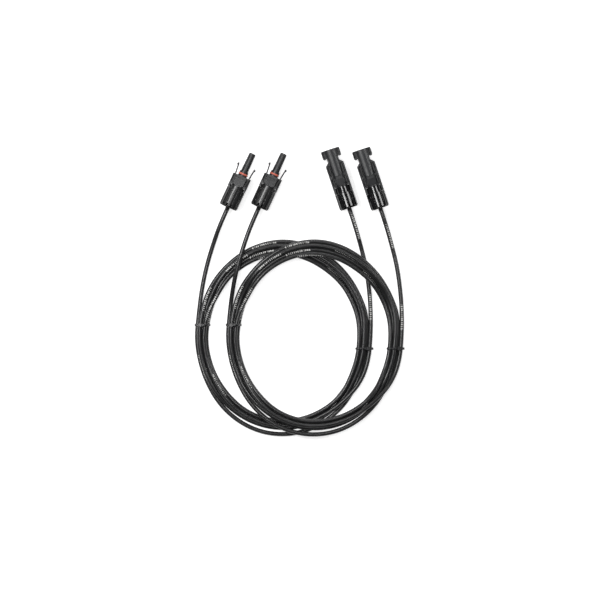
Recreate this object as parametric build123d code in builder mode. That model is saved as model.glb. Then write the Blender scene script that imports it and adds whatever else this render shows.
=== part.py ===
from build123d import *

import math
import os

# A pair of identical solar extension leads.  Each lead is one single-core cable, wound to a loose
# oval coil and held by two cable ties, with a plug on its left end and a receptacle on its right.
# Lead 2 lies on lead 1, one step to the right.
#
# Millimetres.  Plan view: X to the right, Y up the page, Z up from the surface the leads lie on.
# Each connector is modelled standing on its cable end: Z runs forward along its axis from the rear
# face of the gland nut, X is its width in plan, and -Y is its upper side.  It is then laid down.

# ---------------------------------------------------------------- driving dimensions

# Cable
CABLE_DIA = 4.7
CONDUCTOR_DIA = 2.6
LEAD_STEP = 33.0

# Fits and clearances
RUN_GAP = 0.1  # nut over spigot, radial
SEAT_GAP = 0.05  # pieces that seat in each other
FREE_GAP = 0.3  # neighbours that never touch
CABLE_GAP = 0.25  # nut and cage over the cable, radial

# Gland nut
NUT_GRIP_DIA = 20.1
NUT_LEN = 24.0
PLUG_GRIP_LEN = 20.8  # the rest of the nut is its smooth collar
RECEPTACLE_GRIP_LEN = 17.4
NUT_WALL = 0.85
NUT_RIBS = 14
NUT_RIB_DEPTH = 1.3
NUT_GROOVE_W = 1.5
NUT_GROOVE_FLARE = 0.8
NUT_CROWN_DEPTH = 4.0
NUT_CROWN_WALL = 1.55
NUT_HUB_R = 4.9
NUT_HUB_INSET = 1.0
NUT_EDGE = 1.0
NUT_FRONT_EDGE = 0.35
NUT_CONE_LEN = 5.5
NUT_TRAVEL = 6.0
PLUG_NUT_TURN = 0.0
RECEPTACLE_NUT_TURN = -6.3

# Threaded spigot, seal and clamp cage
SPIGOT_R = 7.0  # over the thread's crests; the thread itself is left off
THREAD_DEPTH = 0.45
SPIGOT_INSET = 1.6  # from the nut's inner shoulder to the end of the spigot
SEAL_BORE_R = 5.5
SEAL_BORE_DEPTH = 14.2
SEAL_LEN = 7.6
SEAL_RIDGES = 3
SEAL_RIDGE_DEPTH = 0.5
CAGE_RING_LEN = 5.5
CAGE_FINGERS = 6
CAGE_SLOT_W = 1.1
CAGE_TIP_WALL = 0.8

# Contacts
PIN_R = 2.0
CONTACT_BORE_R = 2.05
CONTACT_R = 2.75
CONTACT_FLANGE_R = 3.1
CONTACT_FLANGE_LEN = 5.0
CRIMP_R = 2.4
CRIMP_LEN = 7.1
CONTACT_DEPTH = 14.2
SPRING_LEN = 7.6
SPRING_WALL = 0.25
SPRING_SLOTS = 8
SPRING_SLOT_W = 0.6

# Housings, both
BARREL_R = 7.6
WING_H = 5.0
WING_ROUND = 1.8
WING_TAIL_H = 3.8  # half height of the wings where they reach back beside the nut's collar
WING_CLEAR = 0.8  # wings round the nut's collar, radial

# Plug
PLUG_W = 20.1
PLUG_BODY_LEN = 11.7
PANEL_W = 11.5
PANEL_H = 7.8
PANEL_TAPER = 2.1
PANEL_STEP = (2.4, 1.3)  # length and depth of the step at its front
PANEL_ROUND = 0.4
FINGER_SLOT_OUT = 8.85
FINGER_SLOT_LEN = 8.9
FINGER_T = 1.4
FINGER_H = 5.0
FINGER_LEN = 21.2
FINGER_ROOT_X = 6.8
FINGER_KNUCKLE_R = 0.85
FINGER_SPLAY = 6.5
FINGER_BARB = 0.85
FINGER_BARB_LEN = 2.5
FINGER_ROOT_LEN = 3.4
FINGER_SWING = 6.0
NOSE_LEN = 26.5
NOSE_COLLAR_R = 4.83
NOSE_COLLAR_LEN = 1.3
RING_GROOVE_R = 3.6
RING_GROOVE_LEN = 2.2
RING_R = 5.2
FRONT_COLLAR_R = 4.7
FRONT_COLLAR_LEN = 2.0
NOSE_ROOT_R = 3.65
NOSE_TIP_R = 3.4
NOSE_RIBS = 8
NOSE_RIB_STAND = 0.25
NOSE_RIB_W = 0.9
NOSE_ROUND = 0.7
NOSE_LIP = 2.0

# Receptacle
RECEPTACLE_W = 19.7
RECEPTACLE_LEN = 65.3
RECEPTACLE_BODY_LEN = 24.5
SHOULDER_LEN = 3.3
NECK_R = 6.35
HEAD_W = 20.1
HEAD_H = 13.4
HEAD_LEN = 7.0
HEAD_ROUND = 2.0
EAR_HOOK = 2.0
EAR_WALL = 1.3
CHAMBER_R = 4.15
CHAMBER_DEPTH = 27.0
MOUTH_R = 5.0
MOUTH_DEPTH = 6.0
MOUTH_CHAMFER = 0.4
PIN_RECESS = 7.5
TONGUE_H = 8.8
TONGUE_REAR_W = 7.9
TONGUE_NECK_W = 9.6
TONGUE_FLARE = 3.4
TONGUE_HEAD_W = 18.0
TONGUE_ROUND = 1.5
PAD_W = 9.9
PAD_LEN = 8.1
PAD_H = 7.9
PAD_GAP = 3.1
RECESS_H = 6.9
POCKET_X = 6.75
POCKET_W = 3.4
POCKET_FLOOR = 1.2
POCKET_WEB = 0.9
POCKET_BAR_W = 1.3
POCKET_BAR_H = 4.3
EAR_POCKET_FLOOR = 4.4
EAR_POCKET_INSET = 1.1
HEAD_CORNER = 0.7
TONGUE_CROWN_R = 10.2

# Coil and ties
COIL_OUTER = (94.3, 104.7)  # half axes of the coil's outer outline
COIL_INNER = (78.8, 86.8)  # half axes of its inner outline
COIL_MARGIN = 5.0
TWO_LAYERS = 8.7
ONE_LAYER = 4.9
PLATEAU_X = 60.5
RAMP_END_X = 78.0
TIE_BAND = 1.0
TIE_W = 2.5
TIE_SQUEEZE = 0.4
TIE_ROUND = 3.2
TIE_HEAD = (4.4, 4.0, 3.2)
TIE_STUB_LEN = 3.0

# Where things lie on the surface, for one lead, from the middle between its connectors
PLUG_REAR = (-64.50, -30.25)
PLUG_HEADING = 24.8  # degrees clockwise from +Y
RECEPTACLE_REAR = (63.87, -31.10)
RECEPTACLE_HEADING = -18.4
COIL_CENTRE = (-6.30, -168.55)
LEFT_TIE_Y = -154.75
LEFT_TIE_HEAD = -2.3
RIGHT_TIE_Y = -179.75
RIGHT_TIE_HEAD = 4.6
LIE_Z = NUT_GRIP_DIA / 2

# The free stretches of the cable, hand-laid points from the nut's rear face to the coil
PLUG_TAIL_ROUTE = {
    1: [
        (-64.50, -30.25, LIE_Z),
        (-72.46, -47.50, LIE_Z),
        (-80.16, -68.75, 4.6),
        (-87.16, -91.75, 2.5),
        (-92.56, -117.75, 2.45),
        (-95.66, -143.75, 3.3),
    ],
    2: [
        (-64.50, -30.25, LIE_Z),
        (-72.46, -47.50, LIE_Z),
        (-80.16, -68.75, 10.3),
        (-87.16, -91.75, 9.9),
        (-91.66, -112.25, 7.4),
        (-94.46, -130.75, 3.0),
        (-96.06, -146.25, 3.3),
    ],
}
RECEPTACLE_TAIL_ROUTE = [
    (63.87, -31.10, LIE_Z),
    (69.87, -49.13, LIE_Z),
    (75.94, -69.75, 2.6),
    (81.64, -92.25, 2.45),
    (85.24, -117.75, 2.5),
    (86.94, -142.25, 2.45),
    (86.74, -165.25, 3.2),
]

# ---------------------------------------------------------------- stations along the axis

NUT_BORE_R = SPIGOT_R + RUN_GAP
NUT_COLLAR_R = NUT_BORE_R + NUT_WALL
NUT_HOLE_R = CABLE_DIA / 2 + CABLE_GAP
NUT_ROOT_R = NUT_GRIP_DIA / 2 - NUT_RIB_DEPTH
CONE_REAR = NUT_HUB_INSET + 0.9
CONE_REAR_R = NUT_HOLE_R + 0.5
NUT_SHOULDER = CONE_REAR + NUT_CONE_LEN
CONE_FRONT_R = SEAL_BORE_R - 0.1
SPIGOT_REAR = NUT_SHOULDER + SPIGOT_INSET
SEAL_FLOOR = SPIGOT_REAR + SEAL_BORE_DEPTH
BODY_REAR = NUT_LEN + FREE_GAP + 0.1
PLUG_WING_REAR = PLUG_GRIP_LEN + FREE_GAP
RECEPTACLE_WING_REAR = RECEPTACLE_GRIP_LEN + FREE_GAP
JACKET_END = SEAL_FLOOR + 0.8
CRIMP_REAR = JACKET_END + 0.4
FLANGE_REAR = CRIMP_REAR + CRIMP_LEN
FLANGE_FRONT = FLANGE_REAR + CONTACT_FLANGE_LEN
CHAMBER_STEP = FLANGE_FRONT + 0.2

PLUG_SHOULDER = BODY_REAR + PLUG_BODY_LEN
GROOVE_REAR = PLUG_SHOULDER + NOSE_COLLAR_LEN
GROOVE_FRONT = GROOVE_REAR + RING_GROOVE_LEN
NOSE_ROOT = GROOVE_FRONT + FRONT_COLLAR_LEN
PLUG_LEN = PLUG_SHOULDER + NOSE_LEN
CONTACT_MOUTH = PLUG_LEN - NOSE_LIP - 0.2

SHOULDER_REAR = BODY_REAR + RECEPTACLE_BODY_LEN
SHOULDER_FRONT = SHOULDER_REAR + SHOULDER_LEN
HEAD_REAR = RECEPTACLE_LEN - HEAD_LEN
CHAMBER_FLOOR = RECEPTACLE_LEN - CHAMBER_DEPTH
MOUTH_FLOOR = RECEPTACLE_LEN - MOUTH_DEPTH
TONGUE_REAR = BODY_REAR + PAD_LEN + 0.5 + PAD_GAP
PIN_TIP = RECEPTACLE_LEN - PIN_RECESS


def lathe(points):
    """Face of a turned profile, given as (radius, station) points, on the axis plane."""
    Polygon(*points, align=None)


# ---------------------------------------------------------------- gland


def make_gland_nut(turn, grip_len):
    """Ribbed gland nut: grip with an open crown at the rear, smooth collar at the front."""
    grip_r = NUT_GRIP_DIA / 2
    crown_r = NUT_ROOT_R - NUT_CROWN_WALL
    with BuildPart() as gland_nut:
        with BuildSketch(Plane.XZ):
            lathe(
                [
                    (crown_r, 0),
                    (grip_r - NUT_EDGE, 0),
                    (grip_r, 1.6 * NUT_EDGE),
                    (grip_r, grip_len - NUT_FRONT_EDGE),
                    (grip_r - NUT_FRONT_EDGE, grip_len),
                    (NUT_COLLAR_R, grip_len),
                    (NUT_COLLAR_R, NUT_LEN),
                    (NUT_BORE_R, NUT_LEN),
                    (NUT_BORE_R, NUT_SHOULDER),
                    (CONE_FRONT_R, NUT_SHOULDER),
                    (CONE_REAR_R, CONE_REAR),
                    (NUT_HOLE_R, CONE_REAR),
                    (NUT_HOLE_R, NUT_HUB_INSET),
                    (NUT_HUB_R, NUT_HUB_INSET),
                    (NUT_HUB_R, NUT_CROWN_DEPTH),
                    (crown_r, NUT_CROWN_DEPTH),
                ]
            )
        revolve(axis=Axis.Z)
        half, flare, past = NUT_GROOVE_W / 2, NUT_GROOVE_FLARE / 2, grip_r + 0.3
        first = turn - 90 + 180 / NUT_RIBS
        with BuildSketch():
            with PolarLocations(0, NUT_RIBS, start_angle=first):
                Polygon(
                    (NUT_ROOT_R, -half),
                    (past, -half - flare),
                    (past, half + flare),
                    (NUT_ROOT_R, half),
                    align=None,
                )
        extrude(amount=grip_len, mode=Mode.SUBTRACT)
        with BuildSketch():
            with PolarLocations((crown_r + NUT_ROOT_R) / 2, NUT_RIBS, start_angle=first):
                Rectangle(NUT_CROWN_WALL + 1.2, NUT_GROOVE_W)
        extrude(amount=NUT_CROWN_DEPTH, mode=Mode.SUBTRACT)
    return gland_nut.part


plug_gland_nut = make_gland_nut(PLUG_NUT_TURN, PLUG_GRIP_LEN)
receptacle_gland_nut = make_gland_nut(RECEPTACLE_NUT_TURN, RECEPTACLE_GRIP_LEN)

with BuildPart() as clamp_cage:
    cone_rise = (CONE_FRONT_R - CONE_REAR_R) / NUT_CONE_LEN
    cage_in = NUT_HOLE_R
    cage_out = SEAL_BORE_R - RUN_GAP
    finger_rear = CONE_REAR + 1.3
    tip_out = cage_in + CAGE_TIP_WALL
    finger_front = SPIGOT_REAR + 0.5
    with BuildSketch(Plane.XZ):
        lathe(
            [
                (cage_in, finger_rear),
                (tip_out, finger_rear),
                (CONE_FRONT_R - 0.3, NUT_SHOULDER - 0.3 / cone_rise + 0.4),
                (cage_out, finger_front),
                (cage_out, finger_front + CAGE_RING_LEN),
                (cage_in, finger_front + CAGE_RING_LEN),
            ]
        )
    revolve(axis=Axis.Z)
    with BuildSketch(Plane.XY.offset(finger_rear)):
        with PolarLocations((cage_in + cage_out) / 2, CAGE_FINGERS):
            Rectangle(cage_out - cage_in + 1.2, CAGE_SLOT_W)
    extrude(amount=finger_front - finger_rear, mode=Mode.SUBTRACT)

with BuildPart() as cable_seal:
    seal_out = SEAL_BORE_R - SEAT_GAP
    seal_rear = SEAL_FLOOR - SEAT_GAP - SEAL_LEN
    ridge = SEAL_LEN / (2 * SEAL_RIDGES - 1)
    with BuildSketch(Plane.XZ):
        with Locations(((CABLE_DIA / 2 + SEAT_GAP + seal_out) / 2, seal_rear + SEAL_LEN / 2)):
            Rectangle(seal_out - CABLE_DIA / 2 - SEAT_GAP, SEAL_LEN)
        for groove in range(SEAL_RIDGES - 1):
            with Locations((seal_out, seal_rear + ridge * (2 * groove + 1.5))):
                Rectangle(2 * SEAL_RIDGE_DEPTH, ridge, mode=Mode.SUBTRACT)
    revolve(axis=Axis.Z)

with BuildPart() as cable_end:
    with BuildSketch():
        Circle(CABLE_DIA / 2)
    extrude(amount=JACKET_END)

with BuildPart() as conductor:
    with BuildSketch(Plane.XY.offset(JACKET_END)):
        Circle(CONDUCTOR_DIA / 2)
    extrude(amount=CRIMP_LEN - 0.4)

# ---------------------------------------------------------------- contacts

crimp_in = CONDUCTOR_DIA / 2 + SEAT_GAP

with BuildPart() as plug_contact_sleeve:
    spring_front = CONTACT_MOUTH - 2.6
    spring_rear = spring_front - SPRING_LEN - 2 * SEAT_GAP
    recess_r = CONTACT_BORE_R + SPRING_WALL + 0.1
    with BuildSketch(Plane.XZ):
        lathe(
            [
                (crimp_in, CRIMP_REAR),
                (CRIMP_R, CRIMP_REAR),
                (CRIMP_R, FLANGE_REAR),
                (CONTACT_FLANGE_R, FLANGE_REAR),
                (CONTACT_FLANGE_R, FLANGE_FRONT),
                (CONTACT_R, FLANGE_FRONT),
                (CONTACT_R, CONTACT_MOUTH),
                (CONTACT_BORE_R, CONTACT_MOUTH),
                (CONTACT_BORE_R, spring_front),
                (recess_r, spring_front),
                (recess_r, spring_rear),
                (CONTACT_BORE_R, spring_rear),
                (CONTACT_BORE_R, CONTACT_MOUTH - CONTACT_DEPTH),
                (0, CONTACT_MOUTH - CONTACT_DEPTH),
                (0, CRIMP_REAR + CRIMP_LEN),
                (crimp_in, CRIMP_REAR + CRIMP_LEN),
            ]
        )
    revolve(axis=Axis.Z)

with BuildPart() as plug_contact_spring:
    spring_out = recess_r - SEAT_GAP
    with BuildSketch(Plane.XY.offset(spring_rear + SEAT_GAP)):
        Circle(spring_out)
        Circle(spring_out - SPRING_WALL, mode=Mode.SUBTRACT)
    extrude(amount=SPRING_LEN)
    with BuildSketch(Plane.XY.offset(spring_rear + SEAT_GAP + 1.0)):
        with PolarLocations(spring_out, SPRING_SLOTS):
            Rectangle(4 * SPRING_WALL, SPRING_SLOT_W)
    extrude(amount=SPRING_LEN - 2.0, mode=Mode.SUBTRACT)

with BuildPart() as receptacle_contact_pin:
    with BuildSketch(Plane.XZ):
        lathe(
            [
                (crimp_in, CRIMP_REAR),
                (CRIMP_R, CRIMP_REAR),
                (CRIMP_R, FLANGE_REAR),
                (CONTACT_FLANGE_R, FLANGE_REAR),
                (CONTACT_FLANGE_R, FLANGE_FRONT),
                (PIN_R + 0.25, FLANGE_FRONT),
                (PIN_R + 0.25, CHAMBER_FLOOR),
                (PIN_R, CHAMBER_FLOOR),
                (PIN_R, PIN_TIP - 1.2),
                (PIN_R - 0.35, PIN_TIP - 0.35),
                (PIN_R - 0.9, PIN_TIP),
                (0, PIN_TIP),
                (0, CRIMP_REAR + CRIMP_LEN),
                (crimp_in, CRIMP_REAR + CRIMP_LEN),
            ]
        )
    revolve(axis=Axis.Z)

# ---------------------------------------------------------------- plug

slot_in = PANEL_W / 2
finger_floor = FINGER_H / 2 + FREE_GAP + 0.1
slot_rear = PLUG_SHOULDER - FINGER_SLOT_LEN

with BuildPart() as plug_housing:
    # Flat body with wings that reach back beside the round collar of the nut
    with BuildSketch(Plane.XY.offset(PLUG_WING_REAR)):
        RectangleRounded(PLUG_W, 2 * WING_H, WING_ROUND)
    extrude(amount=PLUG_SHOULDER - PLUG_WING_REAR)
    with BuildSketch(Plane.XY.offset(PLUG_WING_REAR)):
        Circle(NUT_COLLAR_R + WING_CLEAR)
    extrude(amount=BODY_REAR - PLUG_WING_REAR, mode=Mode.SUBTRACT)
    with BuildSketch(Plane.XY.offset(PLUG_WING_REAR)):
        with Locations((0, WING_TAIL_H + WING_H), (0, -WING_TAIL_H - WING_H)):
            Rectangle(PLUG_W, 2 * WING_H)
    extrude(amount=BODY_REAR - PLUG_WING_REAR, mode=Mode.SUBTRACT)
    # Spigot, barrel, sealing collar and nose in one turned form
    with BuildSketch(Plane.XZ):
        lathe(
            [
                (0, SPIGOT_REAR),
                (SPIGOT_R - THREAD_DEPTH, SPIGOT_REAR),
                (SPIGOT_R - THREAD_DEPTH, BODY_REAR),
                (BARREL_R, BODY_REAR),
                (BARREL_R, PLUG_SHOULDER),
                (NOSE_COLLAR_R, PLUG_SHOULDER),
                (NOSE_COLLAR_R, GROOVE_REAR),
                (RING_GROOVE_R, GROOVE_REAR),
                (RING_GROOVE_R, GROOVE_FRONT),
                (FRONT_COLLAR_R, GROOVE_FRONT),
                (FRONT_COLLAR_R, NOSE_ROOT),
                (NOSE_ROOT_R, NOSE_ROOT),
                (NOSE_TIP_R, PLUG_LEN),
                (0, PLUG_LEN),
            ]
        )
    revolve(axis=Axis.Z)
    fillet(plug_housing.edges().filter_by(GeomType.CIRCLE).sort_by(Axis.Z)[-1], radius=NOSE_ROUND)
    # Fine ribs along the nose, none of them at the top
    rib_root = NOSE_ROOT_R + NOSE_RIB_STAND
    rib_tip = NOSE_TIP_R + NOSE_RIB_STAND
    for pair in range(NOSE_RIBS // 2):
        rib_turn = math.radians((2 * pair + 1) * 180 / NOSE_RIBS)
        rib_cos, rib_sin = math.cos(rib_turn), math.sin(rib_turn)
        with BuildSketch(Plane(origin=(0, 0, 0), x_dir=(rib_cos, rib_sin, 0), z_dir=(rib_sin, -rib_cos, 0))):
            Polygon(
                (-rib_root, NOSE_ROOT),
                (rib_root, NOSE_ROOT),
                (rib_tip, PLUG_LEN - 2 * NOSE_ROUND),
                (rib_tip - 2 * NOSE_RIB_STAND, PLUG_LEN - NOSE_ROUND),
                (2 * NOSE_RIB_STAND - rib_tip, PLUG_LEN - NOSE_ROUND),
                (-rib_tip, PLUG_LEN - 2 * NOSE_ROUND),
                align=None,
            )
        extrude(amount=NOSE_RIB_W / 2, both=True)
    # Raised panel above and below
    with BuildSketch(Plane.XZ):
        Polygon(
            (-PANEL_W / 2, PLUG_SHOULDER),
            (PANEL_W / 2, PLUG_SHOULDER),
            (PANEL_W / 2, BODY_REAR + PANEL_TAPER),
            (PANEL_W / 2 - PANEL_TAPER, BODY_REAR),
            (PANEL_TAPER - PANEL_W / 2, BODY_REAR),
            (-PANEL_W / 2, BODY_REAR + PANEL_TAPER),
            align=None,
        )
    extrude(amount=PANEL_H, both=True)
    step_len, step_depth = PANEL_STEP
    for side in (1, -1):
        with BuildSketch(Plane.XZ.offset(side * (PANEL_H - step_depth))):
            with Locations((0, PLUG_SHOULDER - step_len / 2)):
                Rectangle(PLUG_W, step_len)
        extrude(amount=side * (step_depth + 1), mode=Mode.SUBTRACT)
    panel_faces = plug_housing.faces().filter_by(Plane.XZ).filter_by(
        lambda face: abs(abs(face.center().Y) - PANEL_H) < 0.01
    )
    fillet(panel_faces.edges(), radius=PANEL_ROUND)
    # Slots beside the panel for the latch fingers, open to the front and above
    slot_mid = (slot_in + FINGER_SLOT_OUT) / 2
    with BuildSketch(Plane.XZ.offset(-finger_floor)):
        with Locations((-slot_mid, slot_rear + FINGER_SLOT_LEN), (slot_mid, slot_rear + FINGER_SLOT_LEN)):
            Rectangle(FINGER_SLOT_OUT - slot_in, 2 * FINGER_SLOT_LEN)
        with Locations((-FINGER_ROOT_X, slot_rear), (FINGER_ROOT_X, slot_rear)):
            Circle(FINGER_KNUCKLE_R + SEAT_GAP)
    extrude(amount=finger_floor + PANEL_H + 1, mode=Mode.SUBTRACT)
    # Stepped bore: seal, crimp, contact, entry
    with BuildSketch(Plane.XZ):
        lathe(
            [
                (0, SPIGOT_REAR),
                (SEAL_BORE_R, SPIGOT_REAR),
                (SEAL_BORE_R, SEAL_FLOOR),
                (CONTACT_FLANGE_R + 0.15, SEAL_FLOOR),
                (CONTACT_FLANGE_R + 0.15, CHAMBER_STEP),
                (CONTACT_R + 0.1, CHAMBER_STEP),
                (CONTACT_R + 0.1, PLUG_LEN - NOSE_LIP),
                (PIN_R + 0.35, PLUG_LEN - NOSE_LIP),
                (PIN_R + 0.75, PLUG_LEN),
                (0, PLUG_LEN),
            ]
        )
    revolve(axis=Axis.Z, mode=Mode.SUBTRACT)


def make_latch_finger(side):
    """Latch finger on the given side of the nose (-1 left, 1 right), splayed outwards."""
    inner, outer = -FINGER_T / 2, FINGER_T / 2
    tip, catch = FINGER_LEN, FINGER_LEN - FINGER_BARB_LEN
    outline = [
        (inner - 0.2, FREE_GAP),
        (inner - 0.2, FINGER_ROOT_LEN / 2),
        (inner, FINGER_ROOT_LEN),
        (inner, catch),
        (inner - 0.15, catch + 0.5),
        (inner + 0.35, tip),
        (outer - 0.1, tip),
        (outer + FINGER_BARB, catch + 0.9),
        (outer + FINGER_BARB, catch),
        (outer, catch - 0.4),
        (outer, FINGER_ROOT_LEN),
        (outer + 0.2, FINGER_ROOT_LEN / 2),
        (outer + 0.2, FREE_GAP),
    ]
    with BuildPart() as latch_finger:
        with BuildSketch(Plane.XZ):
            with Locations((side * FINGER_ROOT_X, slot_rear)):
                Circle(FINGER_KNUCKLE_R)
                Polygon(
                    *[(side * x, y) for x, y in outline],
                    rotation=-side * FINGER_SPLAY,
                    align=None,
                )
        extrude(amount=FINGER_H / 2, both=True)
    return latch_finger.part


plug_latch_left = make_latch_finger(-1)
plug_latch_right = make_latch_finger(1)

with BuildPart() as plug_o_ring:
    ring_in = RING_GROOVE_R + SEAT_GAP
    ring_rear, ring_front = GROOVE_REAR + 2 * SEAT_GAP, GROOVE_FRONT - 2 * SEAT_GAP
    ring_round = 0.35 * (RING_R - ring_in)
    with BuildSketch(Plane.XZ):
        lathe(
            [
                (ring_in, ring_rear),
                (RING_R - ring_round, ring_rear),
                (RING_R, ring_rear + ring_round),
                (RING_R, ring_front - ring_round),
                (RING_R - ring_round, ring_front),
                (ring_in, ring_front),
            ]
        )
    revolve(axis=Axis.Z)

# ---------------------------------------------------------------- receptacle

with BuildPart() as tongue:
    # Raised crowned plate that widens into the head
    with BuildSketch(Plane.XZ):
        with BuildLine():
            rear_half, neck_half, head_half = TONGUE_REAR_W / 2, TONGUE_NECK_W / 2, TONGUE_HEAD_W / 2
            Line((0, TONGUE_REAR), (rear_half - TONGUE_ROUND, TONGUE_REAR))
            ThreePointArc(
                (rear_half - TONGUE_ROUND, TONGUE_REAR),
                (rear_half - 0.293 * TONGUE_ROUND, TONGUE_REAR + 0.293 * TONGUE_ROUND),
                (rear_half, TONGUE_REAR + TONGUE_ROUND),
            )
            Line((rear_half, TONGUE_REAR + TONGUE_ROUND), (neck_half, SHOULDER_FRONT))
            Bezier(
                (neck_half, SHOULDER_FRONT),
                (neck_half + 0.4, HEAD_REAR - 1.5),
                (neck_half + 1.2, RECEPTACLE_LEN - TONGUE_FLARE),
                (head_half, RECEPTACLE_LEN - 0.8),
            )
            Polyline((head_half, RECEPTACLE_LEN - 0.8), (head_half, RECEPTACLE_LEN), (0, RECEPTACLE_LEN))
            mirror(about=Plane.YZ)
        make_face()
    extrude(amount=TONGUE_H, both=True)
    with BuildSketch(Plane.XY.offset(TONGUE_REAR)):
        with Locations((0, TONGUE_H - TONGUE_CROWN_R)):
            Circle(TONGUE_CROWN_R)
        with Locations((0, TONGUE_CROWN_R - TONGUE_H)):
            Circle(TONGUE_CROWN_R, mode=Mode.INTERSECT)
    extrude(amount=RECEPTACLE_LEN - TONGUE_REAR, mode=Mode.INTERSECT)

with BuildPart() as receptacle_housing:
    # Flat body with shoulders, and wings that reach back beside the nut's collar
    with BuildSketch(Plane.XY.offset(RECEPTACLE_WING_REAR)):
        RectangleRounded(RECEPTACLE_W, 2 * WING_H, WING_ROUND)
    extrude(amount=SHOULDER_FRONT - RECEPTACLE_WING_REAR)
    with BuildSketch(Plane.XZ):
        Polygon(
            (-RECEPTACLE_W / 2, RECEPTACLE_WING_REAR),
            (RECEPTACLE_W / 2, RECEPTACLE_WING_REAR),
            (RECEPTACLE_W / 2, SHOULDER_REAR),
            (NECK_R, SHOULDER_FRONT),
            (-NECK_R, SHOULDER_FRONT),
            (-RECEPTACLE_W / 2, SHOULDER_REAR),
            align=None,
        )
    extrude(amount=2 * WING_H, both=True, mode=Mode.INTERSECT)
    with BuildSketch(Plane.XY.offset(RECEPTACLE_WING_REAR)):
        Circle(NUT_COLLAR_R + WING_CLEAR)
    extrude(amount=BODY_REAR - RECEPTACLE_WING_REAR, mode=Mode.SUBTRACT)
    with BuildSketch(Plane.XY.offset(RECEPTACLE_WING_REAR)):
        with Locations((0, WING_TAIL_H + WING_H), (0, -WING_TAIL_H - WING_H)):
            Rectangle(RECEPTACLE_W, 2 * WING_H)
    extrude(amount=BODY_REAR - RECEPTACLE_WING_REAR, mode=Mode.SUBTRACT)
    # Head with its two ears, hooked at the rear
    with BuildSketch(Plane.XZ):
        Polygon(
            (-HEAD_W / 2, RECEPTACLE_LEN - HEAD_CORNER),
            (HEAD_CORNER - HEAD_W / 2, RECEPTACLE_LEN),
            (HEAD_W / 2 - HEAD_CORNER, RECEPTACLE_LEN),
            (HEAD_W / 2, RECEPTACLE_LEN - HEAD_CORNER),
            (HEAD_W / 2, HEAD_REAR),
            (HEAD_W / 2 - 0.6, HEAD_REAR - EAR_HOOK),
            (NECK_R + 1.2, HEAD_REAR - EAR_HOOK),
            (NECK_R - 0.6, HEAD_REAR - 0.6),
            (0.6 - NECK_R, HEAD_REAR - 0.6),
            (-NECK_R - 1.2, HEAD_REAR - EAR_HOOK),
            (0.6 - HEAD_W / 2, HEAD_REAR - EAR_HOOK),
            (-HEAD_W / 2, HEAD_REAR),
            align=None,
        )
    extrude(amount=HEAD_H / 2, both=True)
    head_edges = receptacle_housing.edges().filter_by(Axis.Z).filter_by(
        lambda edge: abs(abs(edge.center().X) - HEAD_W / 2) < 0.01
    )
    fillet(head_edges, radius=HEAD_ROUND)
    # Spigot, barrel, cone and neck in one turned form
    with BuildSketch(Plane.XZ):
        lathe(
            [
                (0, SPIGOT_REAR),
                (SPIGOT_R - THREAD_DEPTH, SPIGOT_REAR),
                (SPIGOT_R - THREAD_DEPTH, BODY_REAR),
                (BARREL_R, BODY_REAR),
                (BARREL_R, SHOULDER_REAR),
                (NECK_R, SHOULDER_FRONT),
                (NECK_R, HEAD_REAR + 1),
                (0, HEAD_REAR + 1),
            ]
        )
    revolve(axis=Axis.Z)
    # Tongue and thumb pad
    add(tongue.part)
    with BuildSketch(Plane.XZ):
        pad_front = BODY_REAR + 0.5 + PAD_LEN
        pad_mid = BODY_REAR + 0.5 + PAD_W / 2
        with Locations((0, pad_mid)):
            Circle(PAD_W / 2)
        with Locations((0, (pad_mid + pad_front) / 2)):
            Rectangle(PAD_W, pad_front - pad_mid)
    extrude(amount=PAD_H, both=True)
    ear_in, ear_out = NECK_R + 0.3, HEAD_W / 2 - EAR_WALL
    ear_mid = (ear_in + ear_out) / 2
    for side in (1, -1):
        # Recess between pad and tongue
        with BuildSketch(Plane.XZ.offset(side * RECESS_H)):
            with Locations((0, (pad_front + TONGUE_REAR) / 2)):
                Rectangle(PAD_W + 2, TONGUE_REAR - pad_front)
        extrude(amount=2 * side, mode=Mode.SUBTRACT)
        # Pockets beside the barrel, rounded at their ends
        bridge = TONGUE_REAR
        front_len = SHOULDER_REAR - bridge - POCKET_WEB
        rear_len = bridge - BODY_REAR - 2 * POCKET_WEB
        with BuildSketch(Plane.XZ.offset(side * POCKET_FLOOR)):
            for pocket_x in (-POCKET_X, POCKET_X):
                with Locations((pocket_x, SHOULDER_REAR - front_len / 2)):
                    SlotOverall(front_len, POCKET_W, rotation=90)
                with Locations((pocket_x, BODY_REAR + POCKET_WEB + rear_len / 2)):
                    SlotOverall(rear_len, POCKET_W, rotation=90)
        extrude(amount=side * BARREL_R, mode=Mode.SUBTRACT)
        # A bar along the middle of each pocket
        with BuildSketch(Plane.XZ.offset(side * (POCKET_FLOOR - 0.3))):
            for bar_x in (-POCKET_X, POCKET_X):
                with Locations((bar_x, SHOULDER_REAR - front_len / 2)):
                    RectangleRounded(POCKET_BAR_W, front_len - POCKET_W, 0.4)
                with Locations((bar_x, BODY_REAR + POCKET_WEB + rear_len / 2)):
                    RectangleRounded(POCKET_BAR_W, rear_len - POCKET_W, 0.4)
        extrude(amount=side * (POCKET_BAR_H - POCKET_FLOOR + 0.3))
        # Open pockets in the ears, above their slots
        with BuildSketch(Plane.XZ.offset(side * EAR_POCKET_FLOOR)):
            ear_pocket_len = HEAD_LEN + EAR_HOOK - 2 * EAR_POCKET_INSET
            for pocket_x in (-ear_mid, ear_mid):
                with Locations((pocket_x, HEAD_REAR - EAR_HOOK + EAR_POCKET_INSET + ear_pocket_len / 2)):
                    RectangleRounded(ear_out - ear_in, ear_pocket_len, 0.5)
        extrude(amount=side * HEAD_H, mode=Mode.SUBTRACT)
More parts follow.
